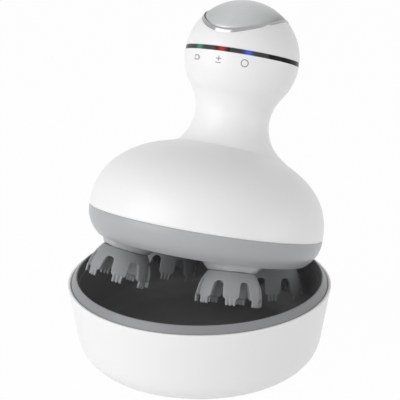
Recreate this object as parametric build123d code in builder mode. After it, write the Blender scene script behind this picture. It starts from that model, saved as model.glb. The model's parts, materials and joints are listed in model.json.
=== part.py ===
from build123d import *
import os
from math import acos, asin, atan2, cos, degrees, hypot, pi, radians, sin, sqrt, tan

# Electric scalp massager leaning in its charging dock, in millimetres.
# The dock stands on z = 0 about the Z axis. The massager is drawn upright about its own Z axis, with
# its seam at z = 0 and its front towards -Y, and is then set down in the dock.

# Clearances
press_gap = 0.02        # a piece pushed on a shaft, on the radius
running_gap = 0.05      # a shaft turning in its bore, on the radius
fit_gap = 0.15          # a cover or socket round what it holds
rest_gap = 0.3          # what is lifted off, above what it rests on

# Massager body
body_radius = 53.0
dome_height = 36.5
belly_height = 23.0     # half height of the curve that the lower side follows
fullness = 2.3          # 2 is an ellipse, more is squarer
curve_steps = 6
rest_steps = 60         # finer, to find where the side rests on the dock
housing_wall = 2.2
lower_depth = 12.2      # from the seam to the corner of the underside
underside_drop = 1.4    # how much the middle of the underside hangs below its corner
floor_wall = 1.4
floor_depth = lower_depth - floor_wall
seam_chamfer = 0.4

# Handle: a ball knob on a waisted neck, set back from the body's axis
handle_setback = 11.0
knob_radius = 26.0
knob_height = 74.8
neck_radius = 17.0
neck_share = 0.295      # of the way from the dome's top to the knob's centre, where the neck is narrowest
neck_height = dome_height + neck_share * (knob_height - dome_height)
flare_radius = 24.0
skirt_margin = 16.5     # from the body's edge to the foot of the flare's skirt
skirt_radius = body_radius - skirt_margin
skirt_setback = 4.5
skirt_share = 0.7       # of the dome's height, where the skirt's foot is sunk into it
skirt_height = dome_height * skirt_share

# Knob top: a dark band, a bezel and a saddle shaped button
band_lift = 0.4         # from the knob's centre to the band
band_low = knob_height + band_lift
band_width = 2.0
band_wall = 2.6
oval_depth = 24.0       # half length of the bezel, front to back
oval_width = 18.2       # half width of the bezel, side to side
bezel_width = 1.8
bezel_stand = 0.2
button_wall = 2.0
button_gap = 0.25
button_travel = 0.8
stem_radius = 3.0

# Control board, switch, lights and cell
board_drop = 2.6        # from the knob's centre down to the board
board_low = knob_height - board_drop
board_wall = 1.6
board_ledge = 1.6
ledge_width = 2.4
switch_width = 6.0
switch_height = 3.5
plunger_radius = 1.7
plunger_seat = 0.6      # floor of the switch under its plunger
plunger_stand = 2.1     # how far the plunger stands out of the switch
light_width = 2.0
light_height = 2.2
light_spacing = 27.0    # degrees between neighbouring lights
light_count = 3
cell_radius = 9.2
cell_margin = 3.6       # from the cell's top to the control board
cell_chamfer = 0.9
cell_cap_radius = 3.1
cell_socket_height = 8.0

# Gear train: motor pinion, two step drive gear, four head gears on axes that lean apart downwards
front_angle = -90.0     # direction of the massager's front
head_splay = 8.0        # degrees between a head's axis and the body's
head_margin = 18.5      # from the body's edge to a head's axis, at the middle of the gears
head_ring_radius = body_radius - head_margin
head_angles = {"front_right": -45.0, "back_right": 45.0, "back_left": 135.0, "front_left": 225.0}
head_teeth = 16
sun_teeth = 60
upper_teeth = 36
pinion_teeth = 12
upper_module = 0.8
pressure_angle = 20.0
addendum = 0.8          # of the module
dedendum = 1.15         # of the module
backlash = 0.16         # of the module
gear_low = -8.0
gear_face = 5.0
upper_face = 3.7
gear_hub_radius = 4.0
axle_radius = 2.0
shaft_radius = 2.0
plate_low = 1.2
plate_wall = 2.2
plate_gap = 0.5

# Motor
motor_radius = 12.0
motor_length = 15.0
motor_fillet = 1.0
motor_boss_radius = 3.2
motor_boss_height = 1.2
motor_shaft_radius = 1.0

# Bosses, screws, bushes and seals of the massager
screw_margin = 17.0     # from the body's edge to the axes of its screws
screw_ring_radius = body_radius - screw_margin
screw_radius = 1.25
screw_head_radius = 2.4
screw_head_height = 1.6
screw_length = 23.0
boss_radius = 3.4
bush_radius = 4.0
bush_flange_radius = 5.2
bush_flange = 1.0
seal_height = 1.0
seam_seal_width = 1.2
contact_pad_radius = 1.6
contact_pad_spacing = 7.0
contact_pad_wall = 0.8

# Claw heads
pod_radius = 14.6
pod_end_radius = 11.2
pod_end = -16.2
pod_margin = 8.4        # from the body's edge to where the pods end, flush with the underside's corner
pod_reach = body_radius - pod_margin
pod_lean = 12.0
head_gap = 0.4
head_height = 14.4
head_wall = 2.0
head_top_radius = 11.0
head_belly_radius = 13.5
head_belly_drop = 6.7
head_tip_radius = 14.3
head_fillet = 1.0
prong_count = 7
prong_turn = -66.0      # direction of one prong about its head's axis at rest
prong_gap_top = 4.4
prong_gap_tip = 7.0
prong_gap_drop = 3.9
nub_radius = 0.75
nub_length = 3.0
nub_spacing = 1.65
nub_inset = 0.3
nub_fillet = 0.4
hub_radius = 4.2
hub_flange_radius = 8.0
hub_flange = 1.5
hub_length = 5.0

# Dock
lip_radius = 59.25
lip_height = 37.4
lip_width = 1.4
lip_fillet = 0.4
rim_width = 3.1
rim_inner = lip_radius - lip_width - rim_width
rim_rise = 3.2          # of the rim's inner edge above the lip
rim_top = lip_height + rim_rise
rim_crown = 0.8
rim_depth = 2.0         # of the rim's underside below the lip
rim_seat = lip_height - rim_depth
shell_wall = 2.0
shell_draft = 4.1       # how much narrower the shell is at its bend than at its lip
shell_bend_radius = lip_radius - shell_draft
shell_bend_height = 12.6
foot_draft = 10.6       # how much narrower the shell is at its foot than at its bend
shell_foot_radius = shell_bend_radius - foot_draft
liner_wall = 1.2
liner_step = 0.3        # from the rim's inner edge to the liner
liner_top_radius = rim_inner - liner_step
liner_draft = 1.7
liner_low_radius = liner_top_radius - liner_draft
liner_fillet = 9.0
dock_floor = 9.4
liner_flange = 1.4
pad_wall = 0.8
pad_chamfer = 0.25
cover_wall = 1.6
cover_margin = 1.2
cover_radius = shell_foot_radius - cover_margin
cover_rest = 3.3        # width of the ledge that the cover rests against
cover_opening = cover_radius - cover_rest
pad_margin = 0.5
pad_radius = cover_opening - pad_margin
dock_screw_margin = 4.5
dock_screw_ring_radius = cover_opening - dock_screw_margin
dock_screw_length = 6.0
post_radius = 4.2
post_height = 2.5
post_fillet = 1.0
pin_radius = 0.9
pin_spacing = 3.8
pin_fillet = 0.5
board_length = 36.0
board_depth = 20.0
inlet_width = 9.4
inlet_height = 3.6
inlet_depth = 8.0
inlet_low = 4.4
inlet_sink = 3.4        # from the shell's bend to the inlet's face
inlet_face = shell_bend_radius - inlet_sink
inlet_wall = 0.6

# How the massager lies in the dock
lean = 17.8             # degrees from upright
lean_turn = 31.8        # degrees that the lean points to the right of straight back
front_turn = -24.0      # degrees that the massager's front is turned to the left of the dock's
rest_right = 3.0
rest_back = 7.15

os.makedirs("parts", exist_ok=True)
handle_axis = Axis((0, handle_setback, 0), (0, 0, 1))
handle_plane = Plane((0, handle_setback, 0), x_dir=(1, 0, 0), z_dir=(0, -1, 0))


def handle_level(height):
    """A level plane centred on the handle's axis."""
    return Plane((0, handle_setback, height), x_dir=(1, 0, 0), z_dir=(0, 0, 1))


def side_curve(radius, height, reach, steps=curve_steps):
    """Points of the body's side from the seam to a level, on a full ellipse of these half sizes."""
    last = asin((reach / abs(height)) ** (fullness / 2))
    angles = [step * last / steps for step in range(steps + 1)]
    power = 2 / fullness
    return [(radius * max(cos(a), 0) ** power, height * sin(a) ** power) for a in angles]


# Derived sizes
liner_flat = liner_low_radius - liner_fillet
liner_bend = dock_floor + liner_fillet
neck_curve = (neck_radius**2 + (knob_height - neck_height) ** 2 - knob_radius**2)
neck_curve /= 2 * (knob_radius - neck_radius)
neck_centre = neck_radius + neck_curve
knob_top = knob_height + knob_radius
band_high = band_low + band_width
gear_high = gear_low + gear_face
upper_high = gear_high + upper_face
plate_high = plate_low + plate_wall
head_module = 2 * head_ring_radius / (head_teeth + sun_teeth)
splay_level = gear_low + gear_face / 2
cone_height = head_ring_radius / tan(radians(head_splay))
bush_seat = -floor_depth + bush_flange_radius * sin(radians(head_splay))
motor_offset = upper_module * (upper_teeth + pinion_teeth) / 2
motor_place = (0, -motor_offset)
head_top = pod_end - head_gap
head_low = head_top - head_height
underside = -(lower_depth + underside_drop)
lip_in = lip_radius - lip_width
board_seat = dock_floor - 2 * liner_wall - board_wall
shell_low = pad_wall
cover_high = pad_wall + cover_wall
board_high = board_low + board_wall
switch_top = board_high + switch_height
stem_low = switch_top + plunger_stand
cell_length = board_low - plate_high - cell_margin
screw_angles = [0, 90, 180, 270]


def gear_points(teeth, module, first_angle):
    """Outline of a spur gear with a tooth centred on first_angle, its flanks short straight runs."""
    pitch_r = module * teeth / 2
    base_r = pitch_r * cos(radians(pressure_angle))
    tip_r = pitch_r + addendum * module
    root_r = pitch_r - dedendum * module

    def spread(radius):
        turn = acos(min(base_r / max(radius, base_r), 1))
        flat = radians(pressure_angle)
        half = (pi / 2 - backlash / 2) / teeth
        return half + (tan(flat) - flat) - (tan(turn) - turn)

    points = []
    for tooth in range(teeth):
        middle = radians(first_angle) + 2 * pi * tooth / teeth
        flank = [(root_r, spread(root_r)), (pitch_r, spread(pitch_r)), (tip_r, spread(tip_r))]
        for radius, half in flank:
            points.append((radius * cos(middle - half), radius * sin(middle - half)))
        for radius, half in reversed(flank):
            points.append((radius * cos(middle + half), radius * sin(middle + half)))
    return points


def head_place(name):
    angle = radians(head_angles[name])
    return (head_ring_radius * cos(angle), head_ring_radius * sin(angle))


def head_point(name, along, across, height):
    """A point of a head's leaning frame, whose heights run along its axis, in the massager's frame."""
    turn, tilt = radians(head_angles[name]), radians(head_splay)
    rise = height - splay_level
    out = head_ring_radius + along * cos(tilt) - rise * sin(tilt)
    up = splay_level + along * sin(tilt) + rise * cos(tilt)
    return out * cos(turn) - across * sin(turn), out * sin(turn) + across * cos(turn), up


# Rest pose: the massager is lowered until its underside or a head is rest_gap above the dock
def dock_surface(radius):
    """Height of the dock's upper surface at a distance from its axis."""
    if radius <= liner_flat:
        return dock_floor
    if radius <= liner_low_radius:
        return liner_bend - sqrt(liner_fillet**2 - (radius - liner_flat) ** 2)
    if radius <= rim_inner:
        share = (radius - liner_low_radius) / (liner_top_radius - liner_low_radius)
        return liner_bend + min(share, 1) * (rim_seat - liner_bend)
    if radius <= lip_radius:
        share = max(radius - rim_inner - rim_crown, 0) / (lip_radius - rim_inner - rim_crown)
        return rim_top - share * (rim_top - lip_height)
    return 0.0


def head_outline():
    """Radius and height of the turning claw head from its top to its tips."""
    return [(head_top_radius, head_top), (head_belly_radius, head_top - head_belly_drop),
            (head_tip_radius, head_low)]


def turn_about(angle_z, angle_x):
    """Rotation about Z followed by a tilt about X, as a function of a point."""
    cz, sz = cos(radians(angle_z)), sin(radians(angle_z))
    cx, sx = cos(radians(angle_x)), sin(radians(angle_x))

    def apply(x, y, z):
        x, y = cz * x - sz * y, sz * x + cz * y
        return x, cx * y - sx * z, sx * y + cx * z

    return apply


def resting_height():
    """Height of the seam's centre at which the massager comes to rest on the dock."""
    tilt = turn_about(front_turn + lean_turn, -lean)
    swing = turn_about(-lean_turn, 0)
    turns = [(cos(radians(step)), sin(radians(step))) for step in range(360)]
    points = []
    for radius, height in side_curve(body_radius, -belly_height, lower_depth, rest_steps):
        points += [(radius * across, radius * along, height) for across, along in turns]
    for name in head_angles:
        for radius, height in head_outline():
            points += [head_point(name, radius * along, radius * across, height) for across, along in turns]
    gaps = []
    for point in points:
        x, y, z = swing(*tilt(*point))
        gaps.append(z - dock_surface(hypot(x + rest_right, y + rest_back)))
    return rest_gap - min(gaps)


seam_height = resting_height()
docked = Pos(rest_right, rest_back, seam_height) * Rot(Z=-lean_turn) * Rot(X=-lean)
docked = docked * Rot(Z=front_turn + lean_turn)
upright = Pos(0, 0, 0)


def head_frame(name):
    """Where a head's leaning frame stands in the massager's."""
    turn = head_angles[name]
    tilt = Rot(Z=turn) * Rot(Y=-head_splay) * Rot(Z=-turn)
    return Pos(*head_place(name), splay_level) * tilt * Pos(0, 0, -splay_level)


def head_planes(height):
    """One plane across each head's axis, at a height along it."""
    return [Plane(head_frame(name) * Pos(0, 0, height)) for name in head_angles]


def save(piece, label, place=docked):
    """Name a finished piece, put it where it stands and write it."""
    placed = piece.moved(place)
    placed.label = label
    export_step(placed, f"parts/{label}.step")


# ---------------------------------------------------------------- dock
with BuildPart() as dock_shell:
    with BuildSketch(Plane.XZ):
        with BuildLine():
            bend_out = (shell_bend_radius, shell_bend_height)
            bend_in = (shell_bend_radius - shell_wall, shell_bend_height)
            foot_in = (shell_foot_radius, cover_high + shell_wall)
            outer = Line(bend_out, (lip_radius, lip_height))
            foot = TangentArc(bend_out, (shell_foot_radius, shell_low),
                              tangent=(shell_bend_radius - lip_radius, shell_bend_height - lip_height))
            Polyline((shell_foot_radius, shell_low), (cover_radius + fit_gap, shell_low),
                     (cover_radius + fit_gap, cover_high), (cover_opening, cover_high),
                     (cover_opening, cover_high + shell_wall), foot_in)
            TangentArc(foot_in, bend_in, tangent=(1, 0))
            wall_run = (lip_radius - shell_bend_radius) / (lip_height - shell_bend_height)
            seat_in = (bend_in[0] + wall_run * (rim_seat - shell_bend_height), rim_seat)
            Polyline(bend_in, seat_in, (lip_in, rim_seat), (lip_in, lip_height), (lip_radius, lip_height))
        make_face()
    revolve(axis=Axis.Z)
    fillet(dock_shell.edges().filter_by(GeomType.CIRCLE).group_by(Axis.Z)[-1], lip_fillet)
    with BuildSketch(Plane.XZ.offset(-shell_foot_radius)):
        with Locations((0, inlet_low + inlet_height / 2)):
            Rectangle(inlet_width + 2 * fit_gap, inlet_height + 2 * fit_gap)
    extrude(amount=-(lip_radius - shell_foot_radius), mode=Mode.SUBTRACT)
save(dock_shell.part, "dock_shell", upright)

with BuildPart() as dock_rim:
    rim_out = lip_radius - lip_width - fit_gap
    with BuildSketch(Plane.XZ):
        with BuildLine():
            Polyline((rim_inner, rim_seat), (rim_out, rim_seat), (rim_out, lip_height),
                     (rim_inner + rim_crown, rim_top), (rim_inner, rim_top - rim_crown / 2),
                     (rim_inner, rim_seat))
        make_face()
    revolve(axis=Axis.Z)
save(dock_rim.part, "dock_rim", upright)

with BuildPart() as dock_liner:
    flange_out = lip_in - lip_width - fit_gap
    with BuildSketch(Plane.XZ):
        with BuildLine():
            Polyline((0, dock_floor), (liner_flat, dock_floor))
            RadiusArc((liner_flat, dock_floor), (liner_low_radius, liner_bend), -liner_fillet)
            Polyline((liner_low_radius, liner_bend), (liner_top_radius, rim_seat), (flange_out, rim_seat),
                     (flange_out, rim_seat - liner_flange),
                     (liner_top_radius + liner_wall, rim_seat - liner_flange),
                     (liner_low_radius + liner_wall, liner_bend))
            RadiusArc((liner_low_radius + liner_wall, liner_bend), (liner_flat, dock_floor - liner_wall),
                      liner_fillet + liner_wall)
            Polyline((liner_flat, dock_floor - liner_wall), (0, dock_floor - liner_wall), (0, dock_floor))
        make_face()
    revolve(axis=Axis.Z)
    with BuildSketch(Plane.XY.offset(cover_high)):
        with PolarLocations(dock_screw_ring_radius, len(screw_angles), start_angle=45):
            Circle(boss_radius)
    extrude(amount=dock_floor - liner_wall - cover_high)
    with BuildSketch(Plane.XY.offset(cover_high)):
        with PolarLocations(dock_screw_ring_radius, len(screw_angles), start_angle=45):
            Circle(screw_radius + press_gap)
    extrude(amount=dock_screw_length - cover_wall, mode=Mode.SUBTRACT)
    with BuildSketch(Plane.XY.offset(dock_floor)):
        Circle(post_radius - liner_wall)
    extrude(amount=-liner_wall, mode=Mode.SUBTRACT)
save(dock_liner.part, "dock_liner", upright)

with BuildPart() as contact_post:
    with BuildSketch(Plane.XY.offset(dock_floor)):
        Circle(post_radius)
    extrude(amount=post_height)
    fillet(contact_post.edges().group_by(Axis.Z)[-1], post_fillet)
    with BuildSketch(Plane.XY.offset(dock_floor)):
        Circle(post_radius - liner_wall - fit_gap)
    extrude(amount=-2 * liner_wall)
    with BuildSketch(Plane.XY.offset(dock_floor + post_height)):
        with Locations((-pin_spacing / 2, 0), (pin_spacing / 2, 0)):
            Circle(pin_radius + press_gap)
    extrude(amount=-post_height / 2, mode=Mode.SUBTRACT)
save(contact_post.part, "contact_post", upright)

with BuildPart() as dock_contacts:
    with BuildSketch(Plane.XY.offset(dock_floor + post_height / 2)):
        with Locations((-pin_spacing / 2, 0), (pin_spacing / 2, 0)):
            Circle(pin_radius)
    extrude(amount=post_height / 2 + pin_radius)
    fillet(dock_contacts.edges().group_by(Axis.Z)[-1], pin_fillet)
save(dock_contacts.part, "dock_contacts", upright)

with BuildPart() as base_cover:
    with BuildSketch(Plane.XY.offset(pad_wall)):
        Circle(cover_radius)
    extrude(amount=cover_wall)
    with BuildSketch(Plane.XY.offset(cover_high)):
        with GridLocations(board_length - 2 * boss_radius, board_depth - 2 * boss_radius, 2, 2):
            Circle(boss_radius / 2)
    extrude(amount=board_seat - cover_high)
    with BuildSketch(Plane.XY.offset(pad_wall)):
        with PolarLocations(dock_screw_ring_radius, len(screw_angles), start_angle=45):
            Circle(screw_radius + fit_gap)
    extrude(amount=cover_wall, mode=Mode.SUBTRACT)
    with BuildSketch(Plane.XY.offset(pad_wall)):
        with PolarLocations(dock_screw_ring_radius, len(screw_angles), start_angle=45):
            Circle(screw_head_radius + fit_gap)
    extrude(amount=cover_wall / 2, mode=Mode.SUBTRACT)
save(base_cover.part, "base_cover", upright)

with BuildPart() as foot_pad:
    with BuildSketch():
        Circle(pad_radius)
    extrude(amount=pad_wall)
    chamfer(foot_pad.edges().group_by(Axis.Z)[0], pad_chamfer)
save(foot_pad.part, "foot_pad", upright)

with BuildPart() as dock_screws:
    with BuildSketch(Plane.XY.offset(pad_wall)):
        with PolarLocations(dock_screw_ring_radius, len(screw_angles), start_angle=45):
            Circle(screw_head_radius)
    extrude(amount=cover_wall / 2)
    with BuildSketch(Plane.XY.offset(pad_wall + cover_wall / 2)):
        with PolarLocations(dock_screw_ring_radius, len(screw_angles), start_angle=45):
            Circle(screw_radius)
    extrude(amount=dock_screw_length - cover_wall)
save(dock_screws.part, "dock_screws", upright)

with BuildPart() as charge_board:
    with BuildSketch(Plane.XY.offset(board_seat)):
        Rectangle(board_length, board_depth)
    extrude(amount=board_wall)
    with BuildSketch(Plane.XY.offset(board_seat)):
        Rectangle(board_depth / 2, board_depth / 2)
    extrude(amount=-board_wall)
save(charge_board.part, "charge_board", upright)

with BuildPart() as charge_inlet:
    with BuildSketch(Plane.XZ.offset(-inlet_face)):
        with Locations((0, inlet_low + inlet_height / 2)):
            RectangleRounded(inlet_width, inlet_height, inlet_wall * 2)
    extrude(amount=inlet_depth)
    with BuildSketch(Plane.XZ.offset(-inlet_face)):
        with Locations((0, inlet_low + inlet_height / 2)):
            RectangleRounded(inlet_width - 2 * inlet_wall, inlet_height - 2 * inlet_wall, inlet_wall)
    extrude(amount=inlet_depth - inlet_wall, mode=Mode.SUBTRACT)
save(charge_inlet.part, "charge_inlet", upright)


# ---------------------------------------------------------------- massager housing
def flare_height(inset):
    """Level at which the neck's curve has widened to the flare's radius."""
    return neck_height - sqrt((neck_curve + inset) ** 2 - (neck_centre - flare_radius + inset) ** 2)


def neck_face(inset, high):
    """Half section of the neck and knob, inset by a wall, from the flare up to a level."""
    ball = knob_radius - inset
    foot = flare_height(inset)
    start = degrees(atan2(foot - neck_height, flare_radius - inset - neck_centre)) % 360
    meet = degrees(atan2(knob_height - neck_height, -neck_centre))
    end = degrees(asin((high - knob_height) / ball))
    with BuildSketch(handle_plane) as section:
        with BuildLine():
            flare = CenterArc((neck_centre, neck_height), neck_curve + inset, start, meet - start)
            ball_arc = CenterArc((0, knob_height), ball, meet - 180, end - (meet - 180))
            Polyline(flare @ 0, (0, foot), (0, high), ball_arc @ 1)
        make_face()
    return section.sketch


def skirt_faces(inset):
    """The two circles between which the flare's skirt runs down into the dome."""
    with BuildSketch(handle_level(flare_height(inset))) as top:
        Circle(flare_radius - inset)
    with BuildSketch(Plane.XY.offset(skirt_height)) as foot:
        with Locations((0, skirt_setback)):
            Circle(skirt_radius - inset)
    return [top.sketch, foot.sketch]


def knob_face(outside, inside, low):
    """Half section of a shell of the knob between two radii, from a level up to the knob's top."""
    start_out = degrees(asin((low - knob_height) / outside))
    start_in = degrees(asin((low - knob_height) / inside))
    with BuildSketch(handle_plane) as section:
        with BuildLine():
            out_arc = CenterArc((0, knob_height), outside, start_out, 90 - start_out)
            in_arc = CenterArc((0, knob_height), inside, start_in, 90 - start_in)
            Line(out_arc @ 0, in_arc @ 0)
            Line(out_arc @ 1, in_arc @ 1)
        make_face()
    return section.sketch


def dome_face(inset):
    """Half section of the dome, inset by a wall."""
    points = side_curve(body_radius - inset, dome_height - inset, dome_height - inset)
    with BuildSketch(Plane.XZ) as section:
        with BuildLine():
            Spline(*points, tangents=[(0, 1), (-1, 0)])
            Polyline(points[-1], (0, 0), points[0])
        make_face()
    return section.sketch


def lower_face():
    """Half section of the lower housing's outside."""
    points = side_curve(body_radius, -belly_height, lower_depth)
    corner = points[-1]
    leave = (corner[0] - points[-2][0], corner[1] - points[-2][1])
    with BuildSketch(Plane.XZ) as section:
        with BuildLine():
            Spline(*points, tangents=[(0, -1), leave])
            TangentArc((0, underside), corner, tangent=(1, 0))
            Polyline((0, underside), (0, 0), points[0])
        make_face()
    return section.sketch


def lower_room():
    """Half section of the room inside the lower housing."""
    points = side_curve(body_radius - housing_wall, housing_wall - belly_height, floor_depth)
    corner = points[-1]
    leave = (corner[0] - points[-2][0], corner[1] - points[-2][1])
    with BuildSketch(Plane.XZ) as section:
        with BuildLine():
            Spline(*points, tangents=[(0, -1), leave])
            Polyline(corner, (0, -floor_depth), (0, 0), points[0])
        make_face()
    return section.sketch


def seam_bevel(side):
    """Triangle that bevels the edge of a housing at the seam, above it for 1 or below it for -1."""
    with BuildSketch(Plane.XZ) as section:
        with BuildLine():
            Polyline((body_radius - seam_chamfer, 0), (body_radius + seam_chamfer, 0),
                     (body_radius + seam_chamfer, 2 * side * seam_chamfer), close=True)
        make_face()
    return section.sketch


def oval(width, depth, wall=0.0):
    """An upright oval, or an oval ring of a wall, about the handle's axis."""
    with BuildSketch(handle_level(band_high)) as outline:
        Ellipse(width, depth)
        if wall:
            Ellipse(width - wall, depth - wall, mode=Mode.SUBTRACT)
    return outline.sketch


with BuildPart() as dome_room:
    revolve(dome_face(housing_wall), axis=Axis.Z)

with BuildPart() as neck_outside:
    revolve(neck_face(0, band_low), axis=handle_axis)
    loft(skirt_faces(0), ruled=True)

with BuildPart() as pillars:
    with BuildSketch(Plane.XY.offset(plate_high)):
        with PolarLocations(screw_ring_radius, len(screw_angles)):
            Circle(boss_radius)
    extrude(amount=dome_height)
    revolve(dome_face(housing_wall / 2), axis=Axis.Z, mode=Mode.INTERSECT)

with BuildPart() as upper_housing:
    revolve(dome_face(0), axis=Axis.Z)
    add(dome_room.part, mode=Mode.SUBTRACT)
    add(pillars.part)
    add(neck_outside.part, mode=Mode.SUBTRACT)
    with BuildSketch(Plane.XY.offset(plate_high)):
        with PolarLocations(screw_ring_radius, len(screw_angles)):
            Circle(screw_radius + press_gap)
    extrude(amount=screw_length / 2, mode=Mode.SUBTRACT)
    revolve(seam_bevel(1), axis=Axis.Z, mode=Mode.SUBTRACT)
save(upper_housing.part, "upper_housing")

with BuildPart() as handle_neck:
    add(neck_outside.part)
    revolve(neck_face(housing_wall, band_low), axis=handle_axis, mode=Mode.SUBTRACT)
    loft(skirt_faces(housing_wall), ruled=True, mode=Mode.SUBTRACT)
    add(dome_room.part, mode=Mode.SUBTRACT)
    with BuildSketch(handle_level(board_low - board_ledge)):
        Circle(knob_radius - housing_wall + fit_gap)
        Circle(knob_radius - housing_wall - ledge_width, mode=Mode.SUBTRACT)
    extrude(amount=board_ledge)
save(handle_neck.part, "handle_neck")

with BuildPart() as display_band:
    with BuildSketch(handle_level(band_low)):
        Circle(knob_radius)
        Circle(knob_radius - band_wall, mode=Mode.SUBTRACT)
    extrude(amount=band_width)
save(display_band.part, "display_band")

with BuildPart() as knob_shell:
    revolve(knob_face(knob_radius, knob_radius - housing_wall, band_high), axis=handle_axis)
    extrude(oval(oval_width + fit_gap, oval_depth + fit_gap), amount=knob_radius, mode=Mode.SUBTRACT)
save(knob_shell.part, "knob_shell")

with BuildPart() as button_bezel:
    revolve(knob_face(knob_radius + bezel_stand, knob_radius - housing_wall, band_high), axis=handle_axis)
    extrude(oval(oval_width, oval_depth, bezel_width), amount=knob_radius, mode=Mode.INTERSECT)
save(button_bezel.part, "button_bezel")

with BuildPart() as top_button:
    revolve(knob_face(knob_radius, knob_radius - button_wall, band_high), axis=handle_axis)
    cap_inset = bezel_width + button_gap
    extrude(oval(oval_width - cap_inset, oval_depth - cap_inset), amount=knob_radius, mode=Mode.INTERSECT)
    with BuildSketch(handle_level(stem_low)):
        Circle(stem_radius)
    extrude(amount=knob_top - button_wall / 2 - stem_low)
save(top_button.part, "top_button")

with BuildPart() as control_board:
    with BuildSketch(handle_level(board_low)):
        Circle(knob_radius - housing_wall - board_ledge / 2)
    extrude(amount=board_wall)
save(control_board.part, "control_board")

with BuildPart() as button_switch:
    with BuildSketch(handle_level(board_high)):
        Rectangle(switch_width, switch_width)
    extrude(amount=switch_height)
    with BuildSketch(handle_level(board_high + plunger_seat)):
        Circle(plunger_radius + running_gap)
    extrude(amount=switch_height, mode=Mode.SUBTRACT)
save(button_switch.part, "button_switch")

with BuildPart() as switch_plunger:
    with BuildSketch(handle_level(board_high + plunger_seat + button_travel + fit_gap)):
        Circle(plunger_radius)
    extrude(amount=stem_low - board_high - plunger_seat - button_travel - fit_gap)
save(switch_plunger.part, "switch_plunger")

with BuildPart() as indicator_lights:
    light_ring_radius = knob_radius - band_wall - light_width
    first_light = front_angle - light_spacing * (light_count - 1) / 2
    with BuildSketch(handle_level(board_high)):
        with PolarLocations(light_ring_radius, light_count, first_light, light_spacing * light_count):
            Rectangle(light_width, light_width)
    extrude(amount=light_height)
save(indicator_lights.part, "indicator_lights")

with BuildPart() as battery_cell:
    with BuildSketch(handle_level(plate_high)):
        Circle(cell_radius)
    extrude(amount=cell_length)
    chamfer(battery_cell.edges().group_by(Axis.Z)[-1], cell_chamfer)
    with BuildSketch(handle_level(plate_high + cell_length)):
        Circle(cell_cap_radius)
    extrude(amount=board_ledge)
save(battery_cell.part, "battery_cell")

with BuildPart() as gearbox_plate:
    plate_radius = body_radius - housing_wall - plate_gap - fit_gap
    with BuildSketch(Plane.XY.offset(plate_low)):
        Circle(plate_radius)
    extrude(amount=plate_wall)
    with BuildSketch(handle_level(plate_high)):
        Circle(cell_radius + fit_gap + housing_wall)
    extrude(amount=cell_socket_height)
    with BuildSketch(handle_level(plate_high)):
        Circle(cell_radius + fit_gap)
    extrude(amount=cell_socket_height, mode=Mode.SUBTRACT)
    with BuildSketch(Plane.XY.offset(plate_low)):
        with PolarLocations(screw_ring_radius, len(screw_angles)):
            Circle(screw_radius + fit_gap)
        with Locations(motor_place):
            Circle(motor_boss_radius + fit_gap)
        Circle(axle_radius + press_gap)
    extrude(amount=plate_wall, mode=Mode.SUBTRACT)
    with BuildSketch(*head_planes(plate_low - plate_wall)):
        Circle(shaft_radius + running_gap)
    extrude(amount=3 * plate_wall, mode=Mode.SUBTRACT)
save(gearbox_plate.part, "gearbox_plate")

with BuildPart() as motor:
    with BuildSketch(Plane.XY.offset(plate_high)):
        with Locations(motor_place):
            Circle(motor_radius)
    extrude(amount=motor_length)
    fillet(motor.edges().group_by(Axis.Z)[-1], motor_fillet)
    with BuildSketch(Plane.XY.offset(plate_high)):
        with Locations(motor_place):
            Circle(motor_boss_radius)
    extrude(amount=-motor_boss_height)
    with BuildSketch(Plane.XY.offset(plate_high - motor_boss_height)):
        with Locations(motor_place):
            Circle(motor_shaft_radius + running_gap)
    extrude(amount=motor_boss_height + motor_length / 2, mode=Mode.SUBTRACT)
save(motor.part, "motor")

with BuildPart() as lower_housing:
    pod_height = -floor_depth - pod_end
    pod_slope = degrees(atan2(pod_radius - pod_end_radius, -lower_depth - pod_end))
    with BuildSketch(*head_planes(pod_end)):
        Circle(pod_end_radius)
    extrude(amount=pod_height, taper=-pod_slope)
    with BuildSketch(Plane.XY.offset(2 * pod_end)):
        Circle(pod_reach + pod_end * tan(radians(pod_lean)))
    extrude(amount=-2 * pod_end, taper=-pod_lean, mode=Mode.INTERSECT)
    revolve(lower_face(), axis=Axis.Z)
    revolve(lower_room(), axis=Axis.Z, mode=Mode.SUBTRACT)
    with BuildSketch(Plane.XY.offset(-floor_depth)):
        with PolarLocations(screw_ring_radius, len(screw_angles)):
            Circle(boss_radius)
        Circle(axle_radius + housing_wall)
    extrude(amount=gear_low - fit_gap + floor_depth)
    with BuildSketch(*head_planes(bush_seat)):
        Circle(bush_flange_radius)
    extrude(amount=-floor_wall)
    with BuildSketch(Plane.XY.offset(gear_low - fit_gap)):
        with PolarLocations(screw_ring_radius, len(screw_angles)):
            Circle(boss_radius)
    extrude(amount=plate_low - gear_low + fit_gap)
    with BuildSketch(Plane.XY.offset(-floor_depth)):
        Circle(axle_radius + press_gap)
    extrude(amount=gear_low + floor_depth, mode=Mode.SUBTRACT)
    with BuildSketch(*head_planes(pod_end)):
        Circle(bush_radius + press_gap)
    extrude(amount=bush_seat - pod_end, mode=Mode.SUBTRACT)
    with BuildSketch(Plane.XY.offset(underside)):
        with PolarLocations(screw_ring_radius, len(screw_angles)):
            Circle(screw_radius + fit_gap)
    extrude(amount=plate_low - underside, mode=Mode.SUBTRACT)
    with BuildSketch(Plane.XY.offset(underside)):
        with PolarLocations(screw_ring_radius, len(screw_angles)):
            Circle(screw_head_radius + fit_gap)
    extrude(amount=-floor_depth - underside + screw_head_height, mode=Mode.SUBTRACT)
    with BuildSketch(Plane.XY.offset(underside - underside_drop)):
        with Locations((-contact_pad_spacing / 2, 0), (contact_pad_spacing / 2, 0)):
            Circle(contact_pad_radius + press_gap)
    extrude(amount=contact_pad_wall + underside_drop, mode=Mode.SUBTRACT)
    revolve(seam_bevel(-1), axis=Axis.Z, mode=Mode.SUBTRACT)
save(lower_housing.part, "lower_housing")

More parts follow.
